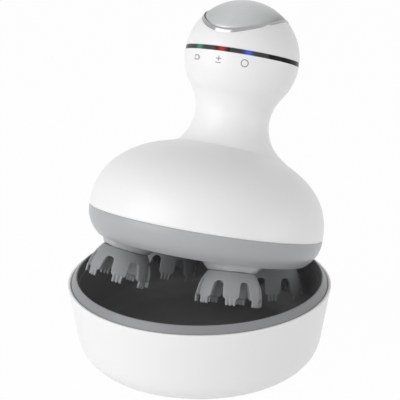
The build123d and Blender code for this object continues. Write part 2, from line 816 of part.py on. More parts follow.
with BuildPart() as housing_seal:
    seal_out = body_radius - housing_wall - running_gap
    with BuildSketch(Plane.XY.offset(-seam_seal_width)):
        Circle(seal_out)
        Circle(seal_out - seam_seal_width, mode=Mode.SUBTRACT)
    extrude(amount=plate_low + seam_seal_width)
save(housing_seal.part, "housing_seal")

with BuildPart() as housing_screws:
    head_level = -floor_depth + screw_head_height
    with BuildSketch(Plane.XY.offset(head_level)):
        with PolarLocations(screw_ring_radius, len(screw_angles)):
            Circle(screw_head_radius)
    extrude(amount=-screw_head_height)
    with BuildSketch(Plane.XY.offset(head_level)):
        with PolarLocations(screw_ring_radius, len(screw_angles)):
            Circle(screw_radius)
    extrude(amount=screw_length)
save(housing_screws.part, "housing_screws")

with BuildPart() as charge_contacts:
    with BuildSketch(Plane.XY.offset(underside + contact_pad_wall)):
        with Locations((-contact_pad_spacing / 2, 0), (contact_pad_spacing / 2, 0)):
            Circle(contact_pad_radius)
    extrude(amount=-contact_pad_wall)
save(charge_contacts.part, "charge_contacts")

with BuildPart() as shaft_bushes:
    with BuildSketch(*head_planes(bush_seat)):
        Circle(bush_flange_radius)
    extrude(amount=bush_flange)
    with BuildSketch(*head_planes(bush_seat)):
        Circle(bush_radius)
    extrude(amount=-(bush_seat - pod_end - seal_height))
    with BuildSketch(*head_planes(pod_end)):
        Circle(shaft_radius + running_gap)
    extrude(amount=bush_seat - pod_end + bush_flange, mode=Mode.SUBTRACT)
save(shaft_bushes.part, "shaft_bushes")

with BuildPart() as shaft_seals:
    with BuildSketch(*head_planes(pod_end)):
        Circle(bush_radius)
        Circle(shaft_radius + running_gap, mode=Mode.SUBTRACT)
    extrude(amount=seal_height)
save(shaft_seals.part, "shaft_seals")

with BuildPart() as drive_axle:
    with BuildSketch(Plane.XY.offset(-floor_depth)):
        Circle(axle_radius)
    extrude(amount=plate_high + floor_depth)
save(drive_axle.part, "drive_axle")


# ---------------------------------------------------------------- gear train
def cone_gear(teeth, first_angle):
    """The two faces of a slightly conical gear, whose teeth run to the point where all axes meet."""
    faces = []
    for level in (gear_low, gear_low + gear_face):
        module = head_module * (1 + (splay_level - level) / cone_height)
        with BuildSketch(Plane.XY.offset(level)) as face:
            with BuildLine():
                Polyline(*gear_points(teeth, module, first_angle), close=True)
            make_face()
        faces.append(face.sketch)
    return faces


with BuildPart() as drive_gear:
    loft(cone_gear(sun_teeth, head_angles["back_right"]), ruled=True)
    with BuildSketch(Plane.XY.offset(gear_high)):
        with BuildLine():
            Polyline(*gear_points(upper_teeth, upper_module, front_angle), close=True)
        make_face()
    extrude(amount=upper_face)
    with BuildSketch(Plane.XY.offset(gear_low)):
        Circle(axle_radius + running_gap)
    extrude(amount=gear_face + upper_face, mode=Mode.SUBTRACT)
save(drive_gear.part, "drive_gear")

with BuildPart() as motor_pinion:
    pinion_plane = Plane((*motor_place, gear_high + plate_gap))
    with BuildSketch(pinion_plane):
        with BuildLine():
            half_tooth = 180 / pinion_teeth
            Polyline(*gear_points(pinion_teeth, upper_module, half_tooth - front_angle), close=True)
        make_face()
        Circle(motor_shaft_radius + press_gap, mode=Mode.SUBTRACT)
    extrude(amount=upper_face - plate_gap)
save(motor_pinion.part, "motor_pinion")

with BuildPart() as motor_shaft:
    with BuildSketch(pinion_plane):
        Circle(motor_shaft_radius)
    extrude(amount=plate_high + motor_length / 2 - fit_gap - gear_high - plate_gap)
save(motor_shaft.part, "motor_shaft")

gap_top = head_height - prong_gap_drop
belly = head_height - head_belly_drop
inner_top = head_height - head_wall
nub_ring_radius = head_tip_radius - nub_inset
nub_turn = degrees(nub_spacing / nub_ring_radius)
with BuildPart() as gap_cutter:
    with BuildSketch(Plane.YZ):
        with BuildLine():
            crown_level = gap_top - prong_gap_top / 2
            crown = ThreePointArc((-prong_gap_top / 2, crown_level), (0, gap_top),
                                  (prong_gap_top / 2, crown_level))
            Polyline(crown @ 1, (prong_gap_tip / 2, 0), (-prong_gap_tip / 2, 0), crown @ 0)
        make_face()
    extrude(amount=head_tip_radius + head_wall)
    with BuildSketch():
        Circle(hub_flange_radius)
    extrude(amount=head_height, mode=Mode.SUBTRACT)

with BuildPart() as claw:
    with BuildSketch(Plane.XZ):
        with BuildLine():
            side = ThreePointArc((head_tip_radius, 0), (head_belly_radius, belly),
                                 (head_top_radius, head_height - head_fillet))
            Polyline(side @ 1, (head_top_radius - head_fillet, head_height),
                     (hub_radius + press_gap, head_height), (hub_radius + press_gap, inner_top),
                     (head_top_radius - head_wall - head_fillet, inner_top),
                     (head_top_radius - head_wall, inner_top - head_fillet))
            ThreePointArc((head_top_radius - head_wall, inner_top - head_fillet),
                          (head_belly_radius - head_wall, belly), (head_tip_radius - head_wall, 0))
            Line((head_tip_radius - head_wall, 0), side @ 0)
        make_face()
    revolve(axis=Axis.Z)
    with PolarLocations(0, prong_count, start_angle=prong_turn + 180 / prong_count):
        add(gap_cutter.part, mode=Mode.SUBTRACT)
    with BuildSketch():
        Circle(head_tip_radius + head_wall)
    extrude(amount=nub_length, mode=Mode.SUBTRACT)
    for step in (-1, 0, 1):
        with BuildSketch():
            with PolarLocations(nub_ring_radius, prong_count, start_angle=prong_turn + step * nub_turn):
                Circle(nub_radius)
        extrude(amount=nub_length + nub_radius)
    fillet(claw.edges().group_by(Axis.Z)[0], nub_fillet)

with BuildPart() as claw_hub:
    with BuildSketch(Plane.XY.offset(head_height - hub_length)):
        Circle(hub_radius)
    extrude(amount=hub_length)
    with BuildSketch(Plane.XY.offset(inner_top - hub_flange)):
        Circle(hub_flange_radius)
    extrude(amount=hub_flange)
    with BuildSketch(Plane.XY.offset(head_height - hub_length + hub_flange)):
        Circle(shaft_radius + press_gap)
    extrude(amount=hub_length, mode=Mode.SUBTRACT)

with BuildPart() as head_shaft:
    shaft_low = hub_flange + head_height - hub_length
    with BuildSketch(Plane.XY.offset(shaft_low)):
        Circle(shaft_radius)
    extrude(amount=plate_high - head_low - shaft_low)

for name in head_angles:
    head_at = docked * head_frame(name) * Pos(0, 0, head_low)
    save(claw.part, f"claw_head_{name}", head_at)
    save(claw_hub.part, f"claw_hub_{name}", head_at)
    save(head_shaft.part, f"head_shaft_{name}", head_at)
    with BuildPart() as head_gear:
        loft(cone_gear(head_teeth, head_angles[name] + 180 + 180 / head_teeth), ruled=True)
        with BuildSketch(Plane.XY.offset(gear_low)):
            Circle(gear_hub_radius)
        extrude(amount=-(gear_low - bush_seat - bush_flange - fit_gap))
        with BuildSketch(Plane.XY.offset(gear_high)):
            Circle(shaft_radius + press_gap)
        extrude(amount=-(gear_high - bush_seat), mode=Mode.SUBTRACT)
    save(head_gear.part, f"head_gear_{name}", docked * head_frame(name))
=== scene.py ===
import json
import math

import bmesh
import bpy
import numpy as np
from bpy.props import FloatProperty, FloatVectorProperty, IntProperty, PointerProperty
from mathutils import Matrix, Vector


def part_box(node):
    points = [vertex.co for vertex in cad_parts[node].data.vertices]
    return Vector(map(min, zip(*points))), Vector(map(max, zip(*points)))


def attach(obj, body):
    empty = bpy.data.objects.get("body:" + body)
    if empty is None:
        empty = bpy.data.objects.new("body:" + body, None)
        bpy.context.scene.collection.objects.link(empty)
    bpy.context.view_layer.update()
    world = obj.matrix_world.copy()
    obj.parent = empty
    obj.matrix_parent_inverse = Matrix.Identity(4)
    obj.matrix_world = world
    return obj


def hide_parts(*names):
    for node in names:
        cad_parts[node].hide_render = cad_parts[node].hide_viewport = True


bl_info = {
    "name": "Scalp massager in its dock",
    "version": (1, 0, 0),
    "blender": (4, 5, 0),
    "location": "View3D > Sidebar > Massager",
    "description": "Builds the visible pieces of a scalp massager and its charging dock",
    "category": "Object",
}

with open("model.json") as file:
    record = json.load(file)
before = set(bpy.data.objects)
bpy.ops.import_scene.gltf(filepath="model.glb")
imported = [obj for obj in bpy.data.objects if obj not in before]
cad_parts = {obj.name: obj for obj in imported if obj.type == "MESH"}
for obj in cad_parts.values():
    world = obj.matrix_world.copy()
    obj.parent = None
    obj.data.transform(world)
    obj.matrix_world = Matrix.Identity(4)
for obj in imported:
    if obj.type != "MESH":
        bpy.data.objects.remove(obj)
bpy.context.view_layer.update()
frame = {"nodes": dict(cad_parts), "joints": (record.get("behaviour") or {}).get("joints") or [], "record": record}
JOINTS = {joint["name"]: joint for joint in frame["joints"]}
HEAD_NAMES = ("front_right", "back_right", "back_left", "front_left")
UPRIGHT = Matrix.Identity(4)
MM = 0.001
SEGMENTS = 192          # round most pieces
DOCK_SEGMENTS = 256     # round the dock's shell and rim
GEAR_DEPTH = 0.008      # of the gears' underside below the seam
SPLAY_LEVEL = -0.0055   # middle of the gears, where the heads' axes are measured
BEAD_WIDTH = 0.00045    # of the bead along the dome's upper edge
POD_BLEND = 0.0008      # height over which a pod runs into the underside
BORE_RADIUS = 0.0041    # of the shallow bore in a pod's end
BORE_DEPTH = 0.0006     # of the same bore
EYE_RADIUS = 0.0042     # of the underside's innermost ring
BUTTON_WALL = 0.0020
STEM_RADIUS = 0.0030    # of the button's stem
KNOB_EDGE = 0.0003      # rounding of the knob shell's edges
KNOB_GAP = 0.00008      # between the knob's shell and its bezel
RING_WALL = 0.0026      # of the dark ring, with its foot
RING_LIP = 0.0006       # depth of the dark ring's edges
RING_SUNK = 0.00012     # of the dark ring below the knob's surface
SCREW_CIRCLE = 0.036    # radius on which the housing's screws stand
SCREW_HEAD = 0.0024
SCREW_SHANK = 0.00125
SCREW_RECESS = 0.0027
SLOT_LENGTH = 0.0013    # half of it
SLOT_WIDTH = 0.00025    # half of it
SLOT_DEPTH = 0.0005
GRAIN_DEPTH = 0.00005   # of the relief of every surface


# ---------------------------------------------------------------- sizes and colours
def length(name, description, default):
    """A length that a user can change, in metres."""
    return FloatProperty(name=name, description=description, default=default, unit="LENGTH", precision=5)


def colour(name, description, default):
    """A colour that a user can change, in linear light."""
    return FloatVectorProperty(name=name, description=description, default=default, size=3,
                               subtype="COLOR", min=0, max=1)


class MassagerBodySizes(bpy.types.PropertyGroup):
    """Sizes of the dome, the neck and the lower housing."""

    radius: length("Radius", "Radius of the body at the seam", 0.0530)
    dome: length("Dome height", "Height of the dome above the seam", 0.0356)
    belly: length("Belly height", "Half height of the curve of the lower side", 0.0230)
    corner: length("Corner depth", "Depth of the underside's corner below the seam", 0.0122)
    drop: length("Underside drop", "How far the middle of the underside hangs below its corner", 0.0014)
    wall: length("Wall", "Thickness of the housings", 0.0022)
    setback: length("Handle setback", "Distance of the handle's axis behind the body's", 0.0110)
    neck: length("Neck radius", "Radius of the neck at its narrowest", 0.0170)
    neck_level: length("Neck height", "Height of the narrowest place above the seam", 0.0478)
    flare: length("Flare radius", "Radius at which the neck's curve ends", 0.0240)
    skirt: length("Skirt radius", "Radius of the foot of the flare's skirt", 0.0365)
    skirt_setback: length("Skirt setback", "Distance of the skirt's foot behind the body's axis", 0.0045)
    skirt_level: length("Skirt height", "Height of the skirt's foot above the seam", 0.02555)
    crease: length("Crease", "Length over which neck and dome run into each other", 0.0010)
    bead: length("Bead", "Height of the soft bead along the dome's upper edge", 0.00022)
    bevel: length("Seam bevel", "Bevel of both housings at the seam", 0.0004)
    pod: length("Pod radius", "Radius of a pod at its end", 0.0104)
    pod_level: length("Pod depth", "Depth of the pods' ends along the heads' axes", 0.01653)
    pod_reach: length("Pod reach", "Radius about the body's axis at which the pods end", 0.0446)
    pod_rise: FloatProperty(name="Pod rise", description="Rise of a pod's cone over its width", default=1.176)
    pod_wall: FloatProperty(name="Pod wall", description="Rise of a pod's outer wall over its width",
                            default=4.7)
    fullness: FloatProperty(name="Fullness", description="2 is an ellipse, more is squarer", default=2.3)


class MassagerKnobSizes(bpy.types.PropertyGroup):
    """Sizes of the knob, its ring, its bezel, its button and its marks."""

    radius: length("Radius", "Radius of the ball knob", 0.0260)
    level: length("Height", "Height of the knob's centre above the seam", 0.0748)
    band_low: length("Band foot", "Height of the dark ring's lower edge", 0.0752)
    band: length("Band width", "Height of the dark ring", 0.0020)
    band_drop: length("Band drop", "How far the ring's middle plane hangs below its level", 0.0008)
    band_pitch: FloatProperty(name="Band pitch", description="Slope of the ring up to the front",
                              default=0.071)
    band_roll: FloatProperty(name="Band roll", description="Slope of the ring up to the right",
                             default=0.0251)
    oval_depth: length("Bezel depth", "Half length of the bezel, front to back", 0.0240)
    oval_width: length("Bezel width", "Half width of the bezel, side to side", 0.0182)
    oval_shift: length("Bezel shift", "Distance of the bezel's widest line before the axis", 0.0040)
    oval_turn: FloatProperty(name="Bezel turn", description="Turn of the bezel about the handle's axis",
                             default=math.radians(-5.8), subtype="ANGLE")
    bezel: length("Bezel rim", "Width of the bezel's rim", 0.0007)
    button_gap: length("Button gap", "Gap between bezel and button", 0.00035)
    mark_level: length("Mark height", "Height of the printed marks", 0.0714)
    mark_line: length("Mark line", "Width of the printed lines", 0.00038)
    mark_spacing: FloatProperty(name="Mark spacing", description="Angle between marks", subtype="ANGLE",
                                default=math.radians(26.3))
    mark_turn: FloatProperty(name="Mark turn", description="Turn of the marks from the front",
                             subtype="ANGLE", default=math.radians(-1.65))
    light_spacing: FloatProperty(name="Light spacing", description="Angle between lights", subtype="ANGLE",
                                 default=math.radians(27))


class MassagerHeadSizes(bpy.types.PropertyGroup):
    """Sizes of a claw head, measured from its tips."""

    height: length("Height", "Height of a head", 0.0144)
    depth: length("Depth", "Depth of the tips along the head's axis", 0.0310)
    wall: length("Wall", "Thickness of the silicone", 0.0020)
    top: length("Top radius", "Radius at the top edge", 0.0103)
    belly: length("Belly radius", "Radius at mid height", 0.0135)
    belly_level: length("Belly height", "Height of the belly radius above the tips", 0.0077)
    tip: length("Tip radius", "Radius at the tips", 0.0143)
    edge: length("Top edge", "Rounding of the top edge", 0.0004)
    gap_top: length("Arch width", "Width of the arch between two prongs", 0.0044)
    gap_tip: length("Gap width", "Gap between two prongs at their tips", 0.0070)
    gap_level: length("Arch height", "Height of the arch's crown above the tips", 0.0105)
    nub: length("Nub radius", "Radius of a rounded nub", 0.00062)
    nub_length: length("Nub length", "Length of a rounded nub below its prong", 0.0030)
    nub_step: length("Nub spacing", "Distance between two nubs of a prong", 0.00165)
    nub_inset: length("Nub inset", "Distance of the nubs' centres inside the tip radius", 0.0003)
    hole: length("Hole radius", "Radius of the hole for the hub", 0.0042)
    voxel: length("Fineness", "Cell size with which the head's surface is made", 0.00028)
    prongs: IntProperty(name="Prongs", description="Number of prongs of a head", default=7, min=3)
    nubs: IntProperty(name="Nubs", description="Number of nubs on a prong", default=3, min=1)
    turn: FloatProperty(name="Turn", description="Direction of one prong about the head's axis",
                        default=math.radians(-66), subtype="ANGLE")


class MassagerDockSizes(bpy.types.PropertyGroup):
    """Sizes of the dock."""

    lip: length("Lip radius", "Radius of the white lip", 0.05925)
    lip_level: length("Lip height", "Height of the white lip", 0.0374)
    lip_width: length("Lip width", "Width of the white lip", 0.0014)
    rim_top: length("Rim height", "Height of the grey rim", 0.0406)
    rim_inner: length("Rim radius", "Inner radius of the grey rim", 0.05475)
    rim_seat: length("Rim seat", "Height of the rim's underside", 0.0354)
    crown: length("Rim crown", "Width of the flat on top of the rim", 0.0008)
    bend: length("Bend radius", "Radius where the shell's wall meets its foot curve", 0.05515)
    bend_level: length("Bend height", "Height where the wall meets the foot curve", 0.0126)
    foot: length("Foot radius", "Radius of the shell's foot", 0.04455)
    foot_level: length("Foot height", "Height of the shell's foot above the table", 0.0008)
    wall: length("Wall", "Thickness of the shell", 0.0020)
    liner_wall: length("Liner wall", "Thickness of the inner bowl", 0.0012)
    liner_top: length("Liner top radius", "Radius of the inner bowl at its top", 0.05445)
    liner_low: length("Liner low radius", "Radius of the inner bowl above its bend", 0.05275)
    liner_bend: length("Liner bend", "Radius of the inner bowl's bend", 0.0090)
    floor: length("Floor height", "Height of the inner bowl's floor", 0.0094)


class MassagerColours(bpy.types.PropertyGroup):
    """Colours of the finishes."""

    shell: colour("Shell", "White gloss shell", (0.90, 0.90, 0.90))
    housing: colour("Housing", "Grey lower housing", (0.415, 0.425, 0.435))
    rim: colour("Rim", "Grey rim of the dock", (0.26, 0.265, 0.27))
    liner: colour("Liner", "Dark inner bowl", (0.27, 0.27, 0.275))
    silicone: colour("Silicone", "Claw heads", (0.285, 0.295, 0.30))
    band: colour("Band", "Smoked ring", (0.055, 0.055, 0.06))
    cap: colour("Cap", "Brushed button", (0.60, 0.605, 0.61))
    bezel: colour("Bezel", "Bright bezel", (0.38, 0.38, 0.385))
    mark: colour("Marks", "Printed marks", (0.22, 0.22, 0.23))


SETTINGS = {
    "massager_body": MassagerBodySizes,
    "massager_knob": MassagerKnobSizes,
    "massager_head": MassagerHeadSizes,
    "massager_dock": MassagerDockSizes,
    "massager_colours": MassagerColours,
}


# ---------------------------------------------------------------- places from the frame
def massager_matrix():
    """Turns the massager's own frame, seam at z = 0 and front towards -Y, into the row frame."""
    drive = JOINTS["drive_spin"]
    up = Vector(drive["axis"]).normalized()
    centre = Vector(drive["pos_m"]) + GEAR_DEPTH * up
    fronts = [Vector(JOINTS[f"spin_{name}"]["pos_m"]) for name in ("front_left", "front_right")]
    front = (fronts[0] + fronts[1]) / 2 - Vector(drive["pos_m"])
    back = -(front - front.dot(up) * up).normalized()
    side = back.cross(up)
    matrix = Matrix((side, back, up)).transposed().to_4x4()
    matrix.translation = centre
    return matrix


MASSAGER = massager_matrix()


def head_places():
    """For each head: its axis's distance from the body's at the gears, its lean and its direction."""
    back = MASSAGER.inverted()
    places = {}
    for name in HEAD_NAMES:
        joint = JOINTS[f"spin_{name}"]
        point = back @ Vector(joint["pos_m"])
        axis = (back.to_3x3() @ Vector(joint["axis"])).normalized()
        splay = math.acos(min(axis.z, 1.0))
        point += axis * (SPLAY_LEVEL - point.z) / axis.z
        places[name] = (math.hypot(point.x, point.y), splay, math.atan2(point.y, point.x))
    return places


HEAD_PLACES = head_places()


def head_matrix(name, level):
    """A head's leaning frame, at a height along its axis, in the row frame."""
    ring, splay, turn = HEAD_PLACES[name]
    lean = Matrix.Rotation(turn, 4, "Z") @ Matrix.Rotation(-splay, 4, "Y") @ Matrix.Rotation(-turn, 4, "Z")
    stand = Matrix.Translation((ring * math.cos(turn), ring * math.sin(turn), SPLAY_LEVEL))
    return MASSAGER @ stand @ lean @ Matrix.Translation((0, 0, level - SPLAY_LEVEL))


def handle_matrix(sizes):
    """The massager's frame moved back to the handle's axis."""
    return MASSAGER @ Matrix.Translation((0, sizes.setback, 0))


# ---------------------------------------------------------------- mesh helpers
def circle(radius, level, count=SEGMENTS, centre=(0, 0)):
    """One ring of points about the Z axis."""
    turn = np.linspace(0, 2 * math.pi, count, endpoint=False)
    return np.column_stack((centre[0] + radius * np.cos(turn), centre[1] + radius * np.sin(turn),
                            np.full(count, float(level))))


def soften(points, radius, closed=False, steps=5):
    """A polyline with its corners rounded; radius is one value or one for each point."""
    points = [np.array(p, float) for p in points]
    count = len(points)
    radii = [radius] * count if np.isscalar(radius) else list(radius)
    out = []
    for i, here in enumerate(points):
        if not closed and i in (0, count - 1) or radii[i] <= 0:
            out.append(here)
            continue
        before, after = points[i - 1], points[(i + 1) % count]
        reach_in = min(radii[i], np.linalg.norm(before - here) * 0.45)
        reach_out = min(radii[i], np.linalg.norm(after - here) * 0.45)
        start = here + (before - here) / np.linalg.norm(before - here) * reach_in
        end = here + (after - here) / np.linalg.norm(after - here) * reach_out
        for t in np.linspace(0, 1, steps):
            out.append((1 - t) ** 2 * start + 2 * t * (1 - t) * here + t**2 * end)
    return out


def edit_mesh(mesh, change):
    """Runs a change on a mesh in its editable form."""
    bm = bmesh.new()
    bm.from_mesh(mesh)
    change(bm)
    bm.to_mesh(mesh)
    bm.free()


def shade_smooth(mesh, sharp_angle):
    """Smooth shading, with edges sharper than an angle in degrees left sharp."""
    mesh.polygons.foreach_set("use_smooth", [True] * len(mesh.polygons))
    mesh.set_sharp_from_angle(angle=math.radians(sharp_angle))


def face_outwards(bm):
    """Merges doubled points and turns all faces outwards."""
    bmesh.ops.remove_doubles(bm, verts=bm.verts, dist=1e-7)
    bmesh.ops.recalc_face_normals(bm, faces=bm.faces)
    if bm.calc_volume(signed=True) < 0:
        bmesh.ops.reverse_faces(bm, faces=bm.faces)


def mesh_object(name, verts, faces, smooth_angle=40):
    """A mesh object with its faces outwards and its soft edges smooth."""
    mesh = bpy.data.meshes.new(name)
    mesh.from_pydata([tuple(v) for v in verts], [], faces)
    edit_mesh(mesh, face_outwards)
    shade_smooth(mesh, smooth_angle)
    obj = bpy.data.objects.new(name, mesh)
    bpy.context.scene.collection.objects.link(obj)
    return obj


def ring_object(name, rings, wrap=False, smooth_angle=40):
    """A surface through rings of points; an end ring of one point is a pole, wrap joins last to first."""
    verts, faces, starts = [], [], []
    for ring in rings:
        starts.append(len(verts))
        verts.extend(ring)
    pairs = list(zip(range(len(rings) - 1), range(1, len(rings))))
    if wrap:
        pairs.append((len(rings) - 1, 0))
    for a, b in pairs:
        size_a, size_b = len(rings[a]), len(rings[b])
        size = max(size_a, size_b)
        for i in range(size):
            j = (i + 1) % size
            corners = [starts[a] + i % size_a, starts[a] + j % size_a,
                       starts[b] + j % size_b, starts[b] + i % size_b]
            face = list(dict.fromkeys(corners))
            if len(face) > 2:
                faces.append(face)
    return mesh_object(name, verts, faces, smooth_angle)


def lathe(name, profile, closed=False, count=SEGMENTS, smooth_angle=40):
    """A solid turned about Z from (radius, height) points; open profiles start and end on the axis."""
    rings = []
    for radius, level in profile:
        rings.append(np.array([[0.0, 0.0, level]]) if radius < 1e-7 else circle(radius, level, count))
    return ring_object(name, rings, wrap=closed, smooth_angle=smooth_angle)


def grid_solid(name, outer, inner):
    """A closed slab between two grids of points of the same size."""
    rows, columns = outer.shape[:2]
    verts = list(outer.reshape(-1, 3)) + list(inner.reshape(-1, 3))
    shift = rows * columns

    def at(r, c, side):
        return side * shift + r * columns + c

    faces = []
    for r in range(rows - 1):
        for c in range(columns - 1):
            for side in (0, 1):
                faces.append([at(r, c, side), at(r, c + 1, side), at(r + 1, c + 1, side), at(r + 1, c, side)])
    for r in range(rows - 1):
        for c in (0, columns - 1):
            faces.append([at(r, c, 0), at(r + 1, c, 0), at(r + 1, c, 1), at(r, c, 1)])
    for c in range(columns - 1):
        for r in (0, rows - 1):
            faces.append([at(r, c, 0), at(r, c + 1, 0), at(r, c + 1, 1), at(r, c, 1)])
    return mesh_object(name, verts, faces)


def join(name, objects):
    """One object from several, which are removed."""
    bm = bmesh.new()
    for obj in objects:
        bm.from_mesh(obj.data)
        bpy.data.objects.remove(obj)
    mesh = bpy.data.meshes.new(name)
    bm.to_mesh(mesh)
    bm.free()
    joined = bpy.data.objects.new(name, mesh)
    bpy.context.scene.collection.objects.link(joined)
    return joined


def apply_modifiers(obj):
    """Turns an object's modifiers into its plain mesh."""
    bpy.context.view_layer.update()
    evaluated = obj.evaluated_get(bpy.context.evaluated_depsgraph_get())
    mesh = bpy.data.meshes.new_from_object(evaluated)
    obj.modifiers.clear()
    obj.data = mesh
    return obj


def box_object(name, spans):
    """A plain box used as a cutter."""
    verts = [(x, y, z) for x in spans[0] for y in spans[1] for z in spans[2]]
    faces = [[0, 1, 3, 2], [4, 6, 7, 5], [0, 4, 5, 1], [2, 3, 7, 6], [0, 2, 6, 4], [1, 5, 7, 3]]
    return mesh_object(name, verts, faces)


def disc(name, radius, low, high, place=(0, 0), count=48, edge=0.0):
    """A short upright cylinder with rounded edges."""
    edge = min(edge, (high - low) / 3, radius / 3)
    profile = soften([(0, low), (radius, low), (radius, high), (0, high)], edge, steps=4)
    obj = lathe(name, profile, count=count)
    obj.data.transform(Matrix.Translation((*place, 0)))
    return obj


def close_slivers(bm):
    """Removes the slivers that a cut leaves, so that the mesh stays closed."""
    bmesh.ops.remove_doubles(bm, verts=bm.verts, dist=2e-5)
    bmesh.ops.dissolve_degenerate(bm, edges=bm.edges, dist=2e-5)
    bmesh.ops.triangulate(bm, faces=[face for face in bm.faces if len(face.verts) > 4])


def cut(obj, cutters):
    """Cuts pieces out of an object, exactly."""
    tool = join("cutters", cutters)
    modifier = obj.modifiers.new("Cut", "BOOLEAN")
    modifier.object = tool
    modifier.operation = "DIFFERENCE"
    modifier.solver = "EXACT"
    apply_modifiers(obj)
    bpy.data.objects.remove(tool)
    edit_mesh(obj.data, close_slivers)
    shade_smooth(obj.data, 35)


def local_box(node):
    """Lowest and highest corner of a CAD node in the massager's own frame."""
    back = MASSAGER.inverted()
    points = np.array([back @ v.co for v in frame["nodes"][node].data.vertices])
    return points.min(0), points.max(0)


def finish_piece(obj, matrix, body, material, replaced=()):
    """Puts a piece in its place, on its body, in its finish, in place of its CAD nodes."""
    obj.data.transform(matrix)
    obj.data.materials.clear()
    obj.data.materials.append(material)
    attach(obj, body)
    if replaced:
        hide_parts(*replaced)
    return obj


# ---------------------------------------------------------------- node helpers
def new_tree(name, kind, sockets):
    """A node tree with sockets from (name, direction, type, default) rows, and its input node."""
    tree = bpy.data.node_groups.new(name, kind)
    for title, direction, socket_type, default in sockets:
        socket = tree.interface.new_socket(name=title, in_out=direction,
                                           socket_type="NodeSocket" + socket_type)
        if default is not None:
            socket.default_value = default
    return tree, tree.nodes.new("NodeGroupInput")


def feed(tree, node, inputs):
    """Links or sets a node's inputs, by name or number."""
    for key, value in inputs.items():
        if isinstance(value, bpy.types.NodeSocket):
            tree.links.new(value, node.inputs[key])
        else:
            node.inputs[key].default_value = value


def add_node(tree, kind, inputs=(), **settings):
    """A new node with its settings and its linked or plain inputs."""
    node = tree.nodes.new(kind)
    for key, value in settings.items():
        setattr(node, key, value)
    feed(tree, node, dict(inputs))
    return node


def add_math(tree, operation, first, second):
    """The value of a math node."""
    return add_node(tree, "ShaderNodeMath", {0: first, 1: second}, operation=operation).outputs[0]


def add_vector_math(tree, operation, inputs):
    """A vector math node."""
    return add_node(tree, "ShaderNodeVectorMath", inputs, operation=operation)


# ---------------------------------------------------------------- geometry node trees
def turned_copies_group():
    """Node group that repeats a geometry about the Z axis from a start angle in equal steps."""
    tree, given = new_tree("Turned copies", "GeometryNodeTree", [
        ("Geometry", "INPUT", "Geometry", None),
        ("Count", "INPUT", "Int", 4),
        ("Start", "INPUT", "Float", 0.0),
        ("Step", "INPUT", "Float", math.pi / 2),
        ("Copies", "OUTPUT", "Geometry", None),
    ])
    points = add_node(tree, "GeometryNodePoints", {"Count": given.outputs["Count"]})
    index = add_node(tree, "GeometryNodeInputIndex")
    turn = add_node(tree, "ShaderNodeMath", {
        0: index.outputs["Index"], 1: given.outputs["Step"], 2: given.outputs["Start"],
    }, operation="MULTIPLY_ADD")
    euler = add_node(tree, "ShaderNodeCombineXYZ", {"Z": turn.outputs[0]})
    place = add_node(tree, "GeometryNodeInstanceOnPoints", {
        "Points": points.outputs[0], "Instance": given.outputs["Geometry"], "Rotation": euler.outputs[0],
    })
    add_node(tree, "NodeGroupOutput", {"Copies": place.outputs[0]})
    return tree


def add_copies(tree, group, geometry, count, start, step):
    """Places the turned copies group in a tree."""
    inputs = {"Geometry": geometry, "Count": count, "Start": start, "Step": step}
    return add_node(tree, "GeometryNodeGroup", inputs, node_tree=group).outputs["Copies"]


def end_tree(tree, geometry, given):
    """Realizes the instances, sets the material and feeds the tree's output."""
    realize = add_node(tree, "GeometryNodeRealizeInstances", {0: geometry})
    finish = add_node(tree, "GeometryNodeSetMaterial", {
        "Geometry": realize.outputs[0], "Material": given.outputs["Material"],
    })
    add_node(tree, "NodeGroupOutput", {"Geometry": finish.outputs[0]})


def claw_tree(group):
    """Repeats a row of nubs on a prong, and the prong round the head."""
    tree, given = new_tree("Claw prongs", "GeometryNodeTree", [
        ("Geometry", "INPUT", "Geometry", None),
        ("Nub", "INPUT", "Object", None),
        ("Nub Count", "INPUT", "Int", 3),
        ("Nub Step", "INPUT", "Float", 0.1),
        ("Prong Count", "INPUT", "Int", 7),
        ("Turn", "INPUT", "Float", 0.0),
        ("Material", "INPUT", "Material", None),
        ("Geometry", "OUTPUT", "Geometry", None),
    ])
    nub = add_node(tree, "GeometryNodeObjectInfo", {"Object": given.outputs["Nub"]})
    last = add_math(tree, "SUBTRACT", given.outputs["Nub Count"], 1)
    half_row = add_math(tree, "MULTIPLY", last, given.outputs["Nub Step"])
    start = add_math(tree, "MULTIPLY", half_row, -0.5)
    row = add_copies(tree, group, nub.outputs["Geometry"], given.outputs["Nub Count"], start,
                     given.outputs["Nub Step"])
    both = add_node(tree, "GeometryNodeJoinGeometry")
    for geometry in (given.outputs["Geometry"], row):
        tree.links.new(geometry, both.inputs[0])
    step = add_math(tree, "DIVIDE", 2 * math.pi, given.outputs["Prong Count"])
    ring = add_copies(tree, group, both.outputs[0], given.outputs["Prong Count"], given.outputs["Turn"], step)
    end_tree(tree, ring, given)
    return tree


def ring_tree(group):
    """Repeats a piece round the Z axis."""
    tree, given = new_tree("Ring of pieces", "GeometryNodeTree", [
        ("Geometry", "INPUT", "Geometry", None),
        ("Count", "INPUT", "Int", 4),
        ("Start", "INPUT", "Float", 0.0),
        ("Material", "INPUT", "Material", None),
        ("Geometry", "OUTPUT", "Geometry", None),
    ])
    step = add_math(tree, "DIVIDE", 2 * math.pi, given.outputs["Count"])
    ring = add_copies(tree, group, given.outputs["Geometry"], given.outputs["Count"], given.outputs["Start"],
                      step)
    end_tree(tree, ring, given)
    return tree


TREE_MAKERS = {"Claw prongs": claw_tree, "Ring of pieces": ring_tree}


def node_tree(name):
    """A geometry node tree of this file, made when it is first asked for."""
    if name not in bpy.data.node_groups:
        group = bpy.data.node_groups.get("Turned copies") or turned_copies_group()
        TREE_MAKERS[name](group)
    return bpy.data.node_groups[name]


